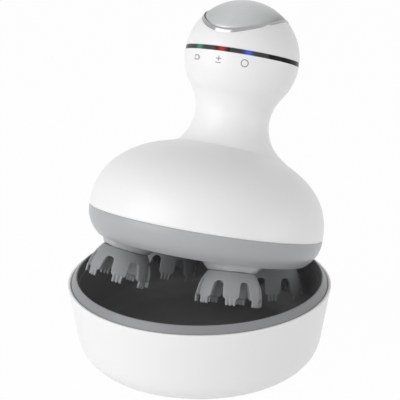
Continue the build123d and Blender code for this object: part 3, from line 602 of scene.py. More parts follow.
def run_tree(obj, name, values):
    """Runs a tree on an object with the inputs given by name, and keeps the result as its mesh."""
    modifier = obj.modifiers.new("Repeat", "NODES")
    modifier.node_group = node_tree(name)
    identifiers = {item.name: item.identifier for item in modifier.node_group.interface.items_tree
                   if item.in_out == "INPUT"}
    for key, value in values.items():
        modifier[identifiers[key]] = value
    return apply_modifiers(obj)


# ---------------------------------------------------------------- shader node groups
SURFACE_SOCKETS = [
    ("Colour", "INPUT", "Color", None),
    ("Shade", "INPUT", "Color", None),
    ("Roughness", "INPUT", "Float", 0.3),
    ("Spread", "INPUT", "Float", 0.05),
    ("Colour", "OUTPUT", "Color", None),
    ("Roughness", "OUTPUT", "Float", None),
    ("Height", "OUTPUT", "Float", None),
]


def end_surface(tree, given, drift, height):
    """Feeds a surface group's outputs; colour and gloss follow the drift."""
    colour_mix = add_node(tree, "ShaderNodeMix", {
        0: drift, 6: given.outputs["Colour"], 7: given.outputs["Shade"],
    }, data_type="RGBA")
    shifted = add_math(tree, "SUBTRACT", drift, 0.5)
    spread = add_math(tree, "MULTIPLY", shifted, given.outputs["Spread"])
    roughness = add_math(tree, "ADD", spread, given.outputs["Roughness"])
    add_node(tree, "NodeGroupOutput", {
        "Colour": colour_mix.outputs[2], "Roughness": roughness, "Height": height,
    })
    return tree


def moulded_group():
    """Moulded plastic or silicone: slow drifts of colour and gloss over a fine spark-eroded grain."""
    tree, given = new_tree("Moulded surface", "ShaderNodeTree",
                           SURFACE_SOCKETS + [("Grain Scale", "INPUT", "Float", 3000.0)])
    place = add_node(tree, "ShaderNodeTexCoord").outputs["Object"]
    drift = add_node(tree, "ShaderNodeTexNoise", {"Vector": place, "Scale": 35, "Detail": 4})
    grain = add_node(tree, "ShaderNodeTexNoise", {
        "Vector": place, "Scale": given.outputs["Grain Scale"], "Detail": 3,
    })
    return end_surface(tree, given, drift.outputs["Fac"], grain.outputs["Fac"])


def brushed_group():
    """Brushed metal: long fine scratches along one axis."""
    tree, given = new_tree("Brushed surface", "ShaderNodeTree", SURFACE_SOCKETS + [
        ("Scratches", "INPUT", "Vector", (300.0, 9000.0, 300.0)),
        ("Turn", "INPUT", "Vector", (0.0, 0.0, 0.0)),
    ])
    place = add_node(tree, "ShaderNodeTexCoord").outputs["Object"]
    turn = add_node(tree, "ShaderNodeVectorRotate", rotation_type="EULER_XYZ")
    feed(tree, turn, {"Vector": place, "Rotation": given.outputs["Turn"]})
    stretch = add_vector_math(tree, "MULTIPLY", {0: turn.outputs[0], 1: given.outputs["Scratches"]})
    scratch = add_node(tree, "ShaderNodeTexNoise", {"Vector": stretch.outputs[0], "Scale": 1, "Detail": 5})
    return end_surface(tree, given, scratch.outputs["Fac"], scratch.outputs["Fac"])


def glow_group():
    """Soft spots of light behind a smoked ring, by distance from three points."""
    spots = [(f"Spot {n}", "INPUT", "Vector", (0.0, 0.0, 0.0)) for n in (1, 2, 3)]
    tints = [(f"Tint {n}", "INPUT", "Color", None) for n in (1, 2, 3)]
    tree, given = new_tree("Light spots", "ShaderNodeTree", spots + tints + [
        ("Reach", "INPUT", "Float", 0.003),
        ("Colour", "OUTPUT", "Color", None),
    ])
    place = add_node(tree, "ShaderNodeTexCoord").outputs["Object"]
    steepness = -1.6
    total = (0.0, 0.0, 0.0)
    for n in (1, 2, 3):
        distance = add_vector_math(tree, "DISTANCE", {0: place, 1: given.outputs[f"Spot {n}"]})
        share = add_math(tree, "DIVIDE", distance.outputs["Value"], given.outputs["Reach"])
        fade = add_math(tree, "MULTIPLY", add_math(tree, "POWER", share, 2.0), steepness)
        strength = add_math(tree, "POWER", math.e, fade)
        tint = add_vector_math(tree, "SCALE", {0: given.outputs[f"Tint {n}"], "Scale": strength})
        total = add_vector_math(tree, "ADD", {0: total, 1: tint.outputs[0]}).outputs[0]
    add_node(tree, "NodeGroupOutput", {"Colour": total})
    return tree


GROUP_MAKERS = {"Moulded surface": moulded_group, "Brushed surface": brushed_group, "Light spots": glow_group}


def surface_node(tree, name, values):
    """Places a shared shader group in a material with its own values."""
    group = bpy.data.node_groups.get(name) or GROUP_MAKERS[name]()
    return add_node(tree, "ShaderNodeGroup", values, node_tree=group)


# ---------------------------------------------------------------- finishes
def rgba(tint, factor=1.0):
    """A colour with full alpha, darkened or lightened by a factor."""
    return (*[min(max(c * factor, 0), 1) for c in tint], 1.0)


def material(name, group, values, bump, tone=False, **shader):
    """A material whose colour, roughness and relief come from a shared surface group.

    If asked, the colour is also scaled by the mesh's painted reflections, a lightness stored on each vertex.
    """
    mat = bpy.data.materials.get(name)
    if mat:
        return mat
    mat = bpy.data.materials.new(name)
    mat.use_nodes = True
    tree = mat.node_tree
    surface = surface_node(tree, group, values)
    tint = surface.outputs["Colour"]
    # Painted reflections: the stored lightness darkens the colour vertex by vertex.
    if tone:
        painted_reflection = add_node(tree, "ShaderNodeAttribute", attribute_name="Painted reflections").outputs["Fac"]
        tint = add_vector_math(tree, "SCALE", {0: tint, "Scale": painted_reflection}).outputs[0]
    relief = add_node(tree, "ShaderNodeBump", {
        "Strength": bump, "Distance": GRAIN_DEPTH, "Height": surface.outputs["Height"],
    })
    inputs = {"Base Color": tint, "Roughness": surface.outputs["Roughness"],
              "Normal": relief.outputs["Normal"]}
    inputs.update({key.replace("_", " "): value for key, value in shader.items()})
    feed(tree, tree.nodes["Principled BSDF"], inputs)
    return mat


def moulded(name, tint, roughness, bump=0.15, shade=0.97, grain=3500.0, **shader):
    """Moulded plastic, rubber or silicone."""
    values = {"Colour": rgba(tint), "Shade": rgba(tint, shade), "Grain Scale": grain,
              "Roughness": roughness, "Spread": 0.05}
    return material(name, "Moulded surface", values, bump, **shader)


def brushed(name, tint, roughness, scratches=(300.0, 9000.0, 300.0), turn=(0.0, 0.0, 0.0), bump=0.2,
            **shader):
    """Brushed or turned metal."""
    values = {"Colour": rgba(tint), "Shade": rgba(tint, 0.88), "Scratches": scratches, "Turn": turn,
              "Roughness": roughness, "Spread": 0.15}
    return material(name, "Brushed surface", values, bump, Metallic=1.0, **shader)


def band_material(tint, spots):
    """Smoked glossy ring with painted reflections, and the three lights glowing through it."""
    # The ring's colour carries painted reflections.
    mat = moulded("Smoked ring", tint, 0.2, bump=0.02, tone=True, Specular_IOR_Level=0.1)
    tree = mat.node_tree
    if "Glow" in tree.nodes:
        return mat
    values = {"Reach": 0.0022}
    lights = ((0.0, 0.26, 0.11), (0.50, 0.015, 0.02), (0.03, 0.07, 0.60))
    for n, (spot, light) in enumerate(zip(spots, lights), start=1):
        values[f"Spot {n}"] = spot
        values[f"Tint {n}"] = rgba(light)
    glow = surface_node(tree, "Light spots", values)
    glow.name = "Glow"
    feed(tree, tree.nodes["Principled BSDF"], {
        "Emission Color": glow.outputs["Colour"], "Emission Strength": 1.0,
    })
    return mat


def white_shell(colours):
    """White of the housings and the dock."""
    return moulded("White gloss shell", colours.shell, 0.34, bump=0.03, shade=0.996)


def grey_silicone(colours):
    """Grey of the claw heads and the seals."""
    return moulded("Grey silicone", colours.silicone, 0.55, bump=0.25, shade=0.93, grain=2500.0)


def dark_liner(colours):
    """Dark grey of the dock's bowl."""
    return moulded("Dark satin liner", colours.liner, 0.36, bump=0.15, shade=0.9)


def zinc_steel():
    """Steel of screws, shafts and axles."""
    return brushed("Zinc steel", (0.55, 0.55, 0.56), 0.35)


# ---------------------------------------------------------------- massager forms
def directions():
    """Unit vectors all round an axis, one for each segment."""
    return [(math.cos(t), math.sin(t)) for t in np.linspace(0, 2 * math.pi, SEGMENTS, endpoint=False)]


def turned_rings(profile_at, setback=0.0):
    """Rings about the handle's axis from the (distance, height) points of each direction's profile."""
    columns = []
    for x, y in directions():
        columns.append([(distance * x, setback + distance * y, level)
                        for distance, level in profile_at((x, y))])
    grid = np.array(columns)
    return [grid[:, row] for row in range(grid.shape[1])]


def side_curve(radius, height, reach, fullness, steps=40):
    """Points of the body's side from the seam to a level."""
    last = math.asin((reach / abs(height)) ** (fullness / 2))
    power = 2 / fullness
    out = []
    for angle in np.linspace(0, last, steps):
        out.append((radius * max(math.cos(angle), 0) ** power, height * math.sin(angle) ** power))
    return out


def band_shift(direction, knob):
    """Shift of the ring above its mean level in a direction: its plane rises to the front and the right."""
    slope = knob.band_roll * direction[0] - knob.band_pitch * direction[1]
    return knob.radius * slope - knob.band_drop


def neck_curve(body, knob):
    """Radius of the neck's hollow curve, and its centre's distance from the handle's axis."""
    curve = body.neck**2 + (knob.level - body.neck_level) ** 2 - knob.radius**2
    curve /= 2 * (knob.radius - body.neck)
    return curve, body.neck + curve


def neck_radius_at(level, body, knob, inset=0.0):
    """Radius of the neck or the knob about the handle's axis, at a level."""
    curve, centre = neck_curve(body, knob)
    share = knob.radius / (knob.radius + curve)
    meet_level = knob.level - share * (knob.level - body.neck_level)
    if level >= meet_level:
        return math.sqrt(max((knob.radius - inset) ** 2 - (level - knob.level) ** 2, 0))
    drop = math.sqrt(max((curve + inset) ** 2 - (level - body.neck_level) ** 2, 0))
    return centre - drop


def flare_level(body, knob, inset):
    """Level at which the neck's curve has widened to the flare's radius."""
    curve, centre = neck_curve(body, knob)
    return body.neck_level - math.sqrt((curve + inset) ** 2 - (centre - body.flare + inset) ** 2)


def wall_distance(level, direction, body, knob, inset):
    """Distance of the flare's skirt or the neck from the handle's axis, at a level and in a direction."""
    top = flare_level(body, knob, inset)
    if level >= top:
        return neck_radius_at(level, body, knob, inset)
    share = (top - level) / (top - body.skirt_level)
    radius = body.flare + (body.skirt - body.flare) * share - inset
    offset = (body.skirt_setback - body.setback) * share
    along = offset * direction[1]
    across = offset * direction[0]
    return along + math.sqrt(radius**2 - across**2)


def dome_distance(radius, direction, body):
    """Distance from the handle's axis at which a horizontal ray leaves a circle of the dome."""
    along = -body.setback * direction[1]
    across = body.setback * direction[0]
    inside = radius**2 - across**2
    return along + math.sqrt(inside) if inside > 0 else None


def housing_path(direction, body, knob, inset):
    """(distance, height) points of the dome, then the neck, in one direction, and the dome's count."""
    height = body.dome - inset
    dome = side_curve(body.radius - inset, height, height * 0.9995, body.fullness, 160)
    if inset == 0:
        dome = [(body.radius - body.bevel, 0.0), (body.radius, body.bevel)] + dome[1:]
    path = []
    for radius, level in dome:
        distance = dome_distance(radius, direction, body)
        hidden = distance is None
        if not hidden and level > body.skirt_level:
            hidden = distance <= wall_distance(level, direction, body, knob, inset)
        if hidden:
            break
        path.append((distance, level))
    dome_count = len(path)
    end = knob.band_low + band_shift(direction, knob)
    for level in np.linspace(path[-1][1], end, 220)[1:]:
        if level >= body.skirt_level:
            path.append((wall_distance(level, direction, body, knob, inset), level))
    return np.array(path), dome_count


def soften_crease(path, width, body, knob):
    """The path averaged over some points to either side, only between the dome and the knob."""
    smooth = path
    window = np.ones(2 * width + 1) / (2 * width + 1)
    for _ in range(2):
        padded = np.pad(smooth, ((width, width), (0, 0)), "edge")
        smooth = np.column_stack([np.convolve(padded[:, k], window, "valid") for k in (0, 1)])
    fade = 0.004
    zone = np.clip((path[:, 1] - body.skirt_level * 0.8) / fade, 0, 1)
    zone *= np.clip((knob.level - 0.012 - path[:, 1]) / fade, 0, 1)
    return path * (1 - zone[:, None]) + smooth * zone[:, None]


def housing_profile(direction, body, knob, inset, rows):
    """(distance, height) points of the upper housing from the seam to the ring, denser at the crease."""
    path, dome_count = housing_path(direction, body, knob, inset)
    reach = np.concatenate(([0], np.cumsum(np.linalg.norm(np.diff(path, axis=0), axis=1))))
    even = np.linspace(0, reach[-1], 600)
    path = np.column_stack([np.interp(even, reach, path[:, k]) for k in (0, 1)])
    path = soften_crease(path, max(int(body.crease / (even[1] * 2)), 1), body, knob)
    middle = reach[dome_count - 1] - 2 * BEAD_WIDTH
    if inset == 0:
        run = np.gradient(path, axis=0)
        run /= np.linalg.norm(run, axis=1)[:, None]
        rise = body.bead * np.exp(-((even - middle) / BEAD_WIDTH) ** 2)
        path = path + rise[:, None] * np.column_stack((run[:, 1], -run[:, 0]))
    share = np.cumsum(1 + 5 * np.exp(-((even - middle) / (6 * BEAD_WIDTH)) ** 2))
    spread = np.searchsorted(share, np.linspace(share[6], share[-1], rows - 2))
    pick = np.concatenate(([0, max(int(body.bevel / even[1]), 1)], np.minimum(spread, len(path) - 1)))
    return path[pick]


class MASSAGER_OT_upper_housing(bpy.types.Operator):
    """Make the white upper housing: dome, neck and lower half of the knob."""

    bl_idname = "massager.upper_housing"
    bl_label = "Upper housing"

    def execute(self, context):
        scene = context.scene
        body, knob = scene.massager_body, scene.massager_knob
        outer = turned_rings(lambda way: housing_profile(way, body, knob, 0.0, 180), body.setback)
        inner = turned_rings(lambda way: housing_profile(way, body, knob, body.wall, 60), body.setback)
        inner[0][:, 2] = 0.0
        obj = ring_object("upper_housing_shell", outer + inner[::-1], wrap=True)
        finish_piece(obj, MASSAGER, "massager", white_shell(scene.massager_colours),
                     ["upper_housing", "handle_neck"])
        return {"FINISHED"}


def pod_level_at(x, y, name, body):
    """Height in the massager's frame of a pod's leaning cone at a point."""
    ring, splay, turn = HEAD_PLACES[name]
    out = x * math.cos(turn) + y * math.sin(turn) - ring
    across = y * math.cos(turn) - x * math.sin(turn)
    level = -body.pod_level
    for _ in range(5):
        along = out * math.cos(splay) + (level - SPLAY_LEVEL) * math.sin(splay)
        wide = max(math.hypot(along, across) - body.pod, 0) * body.pod_rise
        rise = -body.pod_level - SPLAY_LEVEL + wide
        level = SPLAY_LEVEL + (rise + out * math.sin(splay)) / math.cos(splay)
    return level


def underside_level(x, y, body):
    """Height of the underside at a point: a shallow dish, with the four pods standing out of it."""
    radius = math.hypot(x, y)
    corner = side_curve(body.radius, -body.belly, body.corner, body.fullness)[-1][0]
    sphere = (corner**2 + body.drop**2) / (2 * body.drop)
    level = -body.corner - body.drop + sphere - math.sqrt(sphere**2 - min(radius, corner) ** 2)
    limit = -body.pod_level + (radius - body.pod_reach) * body.pod_wall
    for name in HEAD_NAMES:
        pod = max(pod_level_at(x, y, name, body), limit)
        blend = max(POD_BLEND - abs(level - pod), 0) / POD_BLEND
        level = min(level, pod) - blend * blend * POD_BLEND / 4
    return level


def underside_ring(radius, body):
    """One ring of points on the underside."""
    ring = circle(radius, 0)
    turns = np.linspace(0, 2 * math.pi, SEGMENTS, endpoint=False)
    ring[:, 2] = [underside_level(radius * math.cos(t), radius * math.sin(t), body) for t in turns]
    return ring


def lower_housing_cutters(body):
    """Cutters of the screw recesses and of the bores in the pods' ends."""
    screw_reach, bore_reach = 0.03, 0.014
    recess_level = local_box("housing_screws")[0][2] + 0.0002
    cutters = []
    for quarter in range(4):
        turn = math.radians(90 * quarter)
        place = (SCREW_CIRCLE * math.cos(turn), SCREW_CIRCLE * math.sin(turn))
        cutters.append(disc("cut", SCREW_RECESS, -screw_reach, recess_level, place))
    for name in HEAD_NAMES:
        cutter = disc("cut", BORE_RADIUS, -bore_reach, BORE_DEPTH)
        cutter.data.transform(MASSAGER.inverted() @ head_matrix(name, -body.pod_level))
        cutters.append(cutter)
    return cutters


class MASSAGER_OT_lower_housing(bpy.types.Operator):
    """Make the grey lower housing with its four pods."""

    bl_idname = "massager.lower_housing"
    bl_label = "Lower housing"

    def execute(self, context):
        scene = context.scene
        body = scene.massager_body
        side = side_curve(body.radius, -body.belly, body.corner, body.fullness, 26)
        side[0] = (body.radius, -body.bevel)
        inside = -body.corner * 0.55
        pods_start = body.pod_reach - 0.001
        rings = [np.array([[0, 0, inside]]), circle(body.radius - body.wall, inside),
                 circle(body.radius - body.wall, 0.0), circle(body.radius - body.bevel, 0.0)]
        rings += [circle(radius, level) for radius, level in side[:-1]]
        radii = np.concatenate((np.linspace(side[-1][0], pods_start, 12),
                                np.linspace(pods_start, EYE_RADIUS, 90)[1:]))
        rings += [underside_ring(radius, body) for radius in radii]
        rings.append(np.array([[0, 0, underside_level(0, 0, body)]]))
        obj = ring_object("lower_housing_shell", rings)
        cut(obj, lower_housing_cutters(body))
        grey = moulded("Grey satin housing", scene.massager_colours.housing, 0.32, bump=0.10)
        finish_piece(obj, MASSAGER, "massager", grey, ["lower_housing"])
        return {"FINISHED"}


# ---------------------------------------------------------------- knob
def oval_distance(direction, margin, knob):
    """Distance from the handle's axis to the egg-shaped bezel's edge, plus a margin, in a direction."""
    cos, sin = math.cos(knob.oval_turn), math.sin(knob.oval_turn)
    x = direction[0] * cos + direction[1] * sin
    y = direction[1] * cos - direction[0] * sin
    for side in (-1, 1):
        half = knob.oval_depth + margin + side * knob.oval_shift
        a = (x / (knob.oval_width + margin)) ** 2 + (y / half) ** 2
        b = y * knob.oval_shift / half**2
        c = (knob.oval_shift / half) ** 2 - 1
        reach = (math.sqrt(b * b - a * c) - b) / a
        if (reach * y + knob.oval_shift) * side >= 0:
            break
    return reach


def oval_distances(margin, knob):
    """The same distance in each direction round the axis."""
    return np.array([oval_distance(way, margin, knob) for way in directions()])


def knob_ring(distances, stand, knob):
    """Ring of points on the knob, a stand above its surface, at a distance for each direction."""
    ring = []
    for (x, y), distance in zip(directions(), distances):
        height = math.sqrt(max((knob.radius + stand) ** 2 - distance**2, 0))
        ring.append((distance * x, distance * y, knob.level + height))
    return np.array(ring)


def set_painted_reflections(obj, painted_reflection_at):
    """Stores painted reflections, a lightness for each vertex, from its place about the handle's axis."""
    painted_values = obj.data.attributes.new("Painted reflections", "FLOAT", "POINT")
    painted_values.data.foreach_set("value", [painted_reflection_at(v.co.x, v.co.y) for v in obj.data.vertices])


def band_painted_reflections(x, y):
    """Painted reflections on the smoked ring: paler on both sides of its front, near black in front and elsewhere.
    """
    rows = ((-48, 0.05), (-46, 1), (-8, 1), (-6.5, 0.1), (8, 0.1), (9.5, 1), (47.5, 1), (49, 0.05))
    return np.interp(math.degrees(math.atan2(x, -y)), *zip(*rows))


def cap_painted_sheen(x, knob):
    """Painted sheen on the brushed cap: darker to the sides of its middle line, lighter along it."""
    rows = ((0, 1), (0.35, 0.95), (0.7, 0.84), (0.9, 0.7), (1, 0.5))
    middle = -0.002
    return np.interp(abs(x - middle) / knob.oval_width, *zip(*rows))


def shell_section(direction, body, knob):
    """(distance, height) points round the section of the knob's upper shell, in one direction."""
    foot = knob.band_low + knob.band + band_shift(direction, knob)
    reach = oval_distance(direction, KNOB_GAP, knob)
    low = math.asin((foot - knob.level) / knob.radius)
    high = math.acos(min((reach + KNOB_EDGE) / knob.radius, 1))
    section = [((knob.radius - KNOB_EDGE) * math.cos(low), foot)]
    for angle in np.linspace(low + KNOB_EDGE / knob.radius, high, 40):
        section.append((knob.radius * math.cos(angle), knob.level + knob.radius * math.sin(angle)))
    deep = knob.radius - body.wall
    end = knob.level + math.sqrt(knob.radius**2 - reach**2) - KNOB_EDGE * 0.6
    under = knob.level + math.sqrt(deep**2 - reach**2) if deep > reach else foot + 0.0005
    return section + [(reach, end), (reach, under), (deep * math.cos(low), foot)]


def band_section(direction, knob):
    """(distance, height) points round the section of the dark ring, in one direction."""
    low = knob.band_low + band_shift(direction, knob)
    high = low + knob.band
    face = []
    for level in np.linspace(low + 0.0001, high - 0.0001, 7):
        face.append((math.sqrt(knob.radius**2 - (level - knob.level) ** 2) - RING_SUNK, level))
    deep, lip = knob.radius - RING_WALL, knob.radius - RING_LIP
    return [(deep, low), (lip, low)] + face + [(lip, high), (deep, high)]


class MASSAGER_OT_knob(bpy.types.Operator):
    """Make the knob's upper shell and its dark ring."""

    bl_idname = "massager.knob"
    bl_label = "Knob shell and ring"

    def execute(self, context):
        scene = context.scene
        body, knob = scene.massager_body, scene.massager_knob
        place = handle_matrix(body)
        shell = ring_object("knob_upper_shell", turned_rings(lambda way: shell_section(way, body, knob)),
                            wrap=True)
        finish_piece(shell, place, "massager", white_shell(scene.massager_colours),
                     ["knob_shell"])
        band = ring_object("display_ring", turned_rings(lambda way: band_section(way, knob)), wrap=True)
        # Paints reflections into the ring's colour: near black in front and elsewhere, paler on both sides of its
        # front.
        set_painted_reflections(band, band_painted_reflections)
        spots = []
        for step in (-1, 0, 1):
            angle = -math.pi / 2 + step * knob.light_spacing
            x, y = math.cos(angle), math.sin(angle)
            level = knob.band_low + knob.band / 2 + band_shift((x, y), knob)
            spots.append(tuple(place @ Vector((knob.radius * x, knob.radius * y, level))))
        finish_piece(band, place, "massager", band_material(scene.massager_colours.band, spots),
                     ["display_band"])
        return {"FINISHED"}


def bezel_object(knob):
    """The bezel's ring, gently domed between its outer and its inner edge."""
    outer, inner = oval_distances(0.0, knob), oval_distances(-knob.bezel, knob)
    section = [(0.0, -0.0016), (0.0, 0.00002), (0.12, 0.00022), (0.35, 0.00034), (0.65, 0.00034),
               (0.88, 0.00022), (1.0, 0.00002), (1.0, -0.0016)]
    rings = [knob_ring(outer + (inner - outer) * share, stand, knob) for share, stand in section]
    return ring_object("button_bezel_ring", rings, wrap=True, smooth_angle=60)


def button_object(knob):
    """The button's cap, which follows the knob, with its stem."""
    reach = oval_distances(-(knob.bezel + knob.button_gap), knob)
    rows = [(1.0, -BUTTON_WALL), (1.0, -0.00025), (0.992, -0.00006), (0.975, 0.0)]
    rows += [(share, 0.0) for share in np.linspace(0.94, 0.04, 26)]
    top = [knob_ring(reach * share, stand, knob) for share, stand in rows]
    top.append(np.array([[0, 0, knob.level + knob.radius]]))
    under = [knob_ring(reach * share, -BUTTON_WALL, knob) for share in np.linspace(0.2, 0.98, 6)]
    foot = local_box("top_button")[0][2]
    stem_top = knob.level + knob.radius - BUTTON_WALL - 0.0001
    stem = [np.array([[0, 0, foot]]), circle(STEM_RADIUS, foot), circle(STEM_RADIUS, stem_top)]
    return ring_object("button_cap", stem + under + top)


class MASSAGER_OT_button(bpy.types.Operator):
    """Make the bright bezel and the brushed button."""

    bl_idname = "massager.button"
    bl_label = "Bezel and button"

    def execute(self, context):
        scene = context.scene
        body, knob, colours = scene.massager_body, scene.massager_knob, scene.massager_colours
        place = handle_matrix(body)
        chrome = moulded("Bright bezel", colours.bezel, 0.16, bump=0.02, Metallic=1.0)
        finish_piece(bezel_object(knob), place, "massager", chrome, ["button_bezel"])
        button = button_object(knob)
        # Paints a sheen into the cap's colour: lighter down its middle line, darker to the sides.
        set_painted_reflections(button, lambda x, y: cap_painted_sheen(x, knob))
        up = Vector((0, 0, 1))
        turn = (MASSAGER.to_3x3() @ up).rotation_difference(up).to_euler()
        # The cap's colour carries this painted sheen.
        cap = brushed("Brushed cap", colours.cap, 0.38, scratches=(220.0, 5000.0, 220.0), turn=tuple(turn),
                      bump=0.12, tone=True)
        finish_piece(button, place, "button", cap, ["top_button"])
        return {"FINISHED"}


# ---------------------------------------------------------------- printed marks
def stroke(points, width, closed=False):
    """Rectangles of a printed line through points in millimetres, as lists of four corners."""
    points = np.array(points, float) * MM
    pairs = list(zip(points[:-1], points[1:]))
    if closed:
        pairs.append((points[-1], points[0]))
    quads = []
    for a, b in pairs:
        along = (b - a) / np.linalg.norm(b - a)
        across = np.array((-along[1], along[0])) * width / 2
        a, b = a - along * width * 0.3, b + along * width * 0.3
        quads.append([a - across, b - across, b + across, a + across])
    return quads


def mark_strokes(line):
    """The three marks: a battery, a plus over a minus, and a ring."""
    battery = [(-1.5, -0.9), (1.0, -0.9), (1.0, 0.9), (-1.5, 0.9)]
    ring = [(1.55 * math.cos(t), 1.55 * math.sin(t)) for t in np.linspace(0, 2 * math.pi, 28)[:-1]]
    return (
        stroke(battery, line, closed=True) + stroke([(1.5, -0.45), (1.5, 0.45)], line),
        stroke([(-1.2, 0.45), (1.2, 0.45)], line) + stroke([(0, -0.6), (0, 1.5)], line)
        + stroke([(-1.2, -1.35), (1.2, -1.35)], line),
        stroke(ring, line, closed=True),
    )


class MASSAGER_OT_marks(bpy.types.Operator):
    """Print the charge, speed and turn marks under the three lights."""

    bl_idname = "massager.marks"
    bl_label = "Printed marks"

    def execute(self, context):
        scene = context.scene
        body, knob = scene.massager_body, scene.massager_knob
        verts, faces = [], []
        for step, quads in zip((-1, 0, 1), mark_strokes(knob.mark_line)):
            middle = -math.pi / 2 + knob.mark_turn + step * knob.mark_spacing
            for quad in quads:
                start = len(verts)
                for stand in (-0.00005, 0.00004):
                    for across, up in quad:
                        angle = middle + across / knob.radius
                        level = knob.mark_level + up + band_shift((math.cos(angle), math.sin(angle)), knob)
                        radius = neck_radius_at(level, body, knob) + stand
                        verts.append((radius * math.cos(angle), radius * math.sin(angle), level))
                faces += [range(start, start + 4), range(start + 4, start + 8)]
                for i in range(4):
                    j = (i + 1) % 4
                    faces.append([start + i, start + j, start + 4 + j, start + 4 + i])
        obj = mesh_object("printed_marks", verts, faces)
        ink = moulded("Printed grey", scene.massager_colours.mark, 0.5, bump=0.02)
        finish_piece(obj, handle_matrix(body), "massager", ink)
        return {"FINISHED"}


# ---------------------------------------------------------------- claw heads
def arc_through(first, middle, last, steps):
    """Points of the circular arc through three points."""
    (ax, ay), (bx, by), (cx, cy) = first, middle, last
    d = 2 * (ax * (by - cy) + bx * (cy - ay) + cx * (ay - by))
    ux = ((ax**2 + ay**2) * (by - cy) + (bx**2 + by**2) * (cy - ay) + (cx**2 + cy**2) * (ay - by)) / d
    uy = ((ax**2 + ay**2) * (cx - bx) + (bx**2 + by**2) * (ax - cx) + (cx**2 + cy**2) * (bx - ax)) / d
    radius = math.hypot(ax - ux, ay - uy)
    start = math.atan2(ay - uy, ax - ux)
    end = math.atan2(cy - uy, cx - ux)
    return [(ux + radius * math.cos(t), uy + radius * math.sin(t)) for t in np.linspace(start, end, steps)]


def head_wall(head):
    """Outer radius of the head at a height above its tips, as a function."""
    points = arc_through((head.tip, 0), (head.belly, head.belly_level),
                         (head.top, head.height - head.edge), 40)
    levels = [p[1] for p in points]
    radii = [p[0] for p in points]
    return lambda level: float(np.interp(level, levels, radii))


def prong_object(head):
    """One prong, centred on +X, from its root at the arch down to above its nubs."""
    wall_at = head_wall(head)
    crown = head.gap_level - head.gap_top / 2
    tip = head.nub_length
    outer, inner = [], []
    for level in np.linspace(tip, head.gap_level + 0.0012, 26):
        radius = wall_at(level)
        if level > head.gap_level:
            gap = 0.0
        elif level > crown:
            gap = math.sqrt(max((head.gap_top / 2) ** 2 - (level - crown) ** 2, 0))
        else:
            gap = (head.gap_tip + (head.gap_top - head.gap_tip) * level / crown) / 2
        shrink = 1.0 - 0.25 * max(1 - (level - tip) / 0.0010, 0) ** 2
        half = (math.pi / head.prongs - gap / radius) * shrink
        row_out, row_in = [], []
        for turn in np.linspace(-half, half, 11):
            row_out.append((radius * math.cos(turn), radius * math.sin(turn), level))
            deep = radius - head.wall
            row_in.append((deep * math.cos(turn), deep * math.sin(turn), level))
        outer.append(row_out)
        inner.append(row_in)
    return grid_solid("prong", np.array(outer), np.array(inner))


def nub_object(head):
    """One rounded nub at the end of a prong, on +X."""
    radius = head.nub
    profile = [(0, 0)]
    for turn in np.linspace(0.2, math.pi / 2, 6):
        profile.append((radius * math.sin(turn), radius - radius * math.cos(turn)))
    profile += [(radius * 1.05, head.nub_length + radius), (0, head.nub_length + radius)]
    obj = lathe("nub", profile, count=16)
    middle = head.tip - head.nub_inset
    obj.data.transform(Matrix.Translation((middle, 0, 0)))
    return obj


def crown_object(head):
    """The closed top of a claw head, with the hole for its hub."""
    wall_at = head_wall(head)
    low = head.gap_level - 0.0002
    top_inner = head.height - head.wall
    outer = [(wall_at(level), level) for level in np.linspace(low, head.height - head.edge, 10)]
    inner = [(wall_at(level) - head.wall, level)
             for level in np.linspace(top_inner - head.edge * 0.6, low, 8)]
    profile = outer + [(head.top - head.edge * 0.3, head.height - head.edge * 0.3),
                       (head.top - head.edge, head.height), (head.hole, head.height), (head.hole, top_inner),
                       (head.top - head.wall - head.edge * 0.7, top_inner)] + inner
    return lathe("crown", profile, closed=True, count=128)


def head_mesh(head, silicone):
    """The mesh of one claw head about its own axis, tips at z = 0."""
    nub = nub_object(head)
    prongs = run_tree(prong_object(head), "Claw prongs", {
        "Nub": nub, "Nub Count": head.nubs, "Nub Step": head.nub_step / (head.tip - head.nub_inset),
        "Prong Count": head.prongs, "Turn": head.turn, "Material": silicone,
    })
    bpy.data.objects.remove(nub)
    whole = join("claw", [prongs, crown_object(head)])
    remesh = whole.modifiers.new("Merge", "REMESH")
    remesh.mode = "VOXEL"
    remesh.voxel_size = head.voxel * 1
    relax = whole.modifiers.new("Relax", "SMOOTH")
    relax.factor = 0.5
    relax.iterations = 4
    apply_modifiers(whole)
    mesh = whole.data
    bpy.data.objects.remove(whole)
    mesh.polygons.foreach_set("use_smooth", [True] * len(mesh.polygons))
    return mesh


class MASSAGER_OT_heads(bpy.types.Operator):
    """Make the four claw heads."""

    bl_idname = "massager.heads"
    bl_label = "Claw heads"

    def execute(self, context):
        scene = context.scene
        head = scene.massager_head
        silicone = grey_silicone(scene.massager_colours)
        mesh = head_mesh(head, silicone)
        for name in HEAD_NAMES:
            obj = bpy.data.objects.new(f"claw_{name}", mesh.copy())
            context.collection.objects.link(obj)
            finish_piece(obj, head_matrix(name, -head.depth), f"head_{name}", silicone,
                         [f"claw_head_{name}"])
        return {"FINISHED"}


# ---------------------------------------------------------------- dock
def foot_curve(dock, inset, steps=16):
    """Curve of the shell's foot, tangent to its wall, from the foot to the bend."""
    slope = Vector((dock.bend - dock.lip, dock.bend_level - dock.lip_level)).normalized()
    start = Vector((dock.bend - inset, dock.bend_level))
    end = Vector((dock.foot, dock.foot_level + inset))
    chord = end - start
    normal = Vector((slope[1], -slope[0]))
    radius = chord.length_squared / (2 * abs(chord.dot(normal)))
    side = 1 if chord.dot(normal) > 0 else -1
    centre = start + normal * radius * side
    first = math.atan2(start[1] - centre[1], start[0] - centre[0])
    last = math.atan2(end[1] - centre[1], end[0] - centre[0])
    return [(centre[0] + radius * math.cos(t), centre[1] + radius * math.sin(t))
            for t in np.linspace(last, first, steps)]


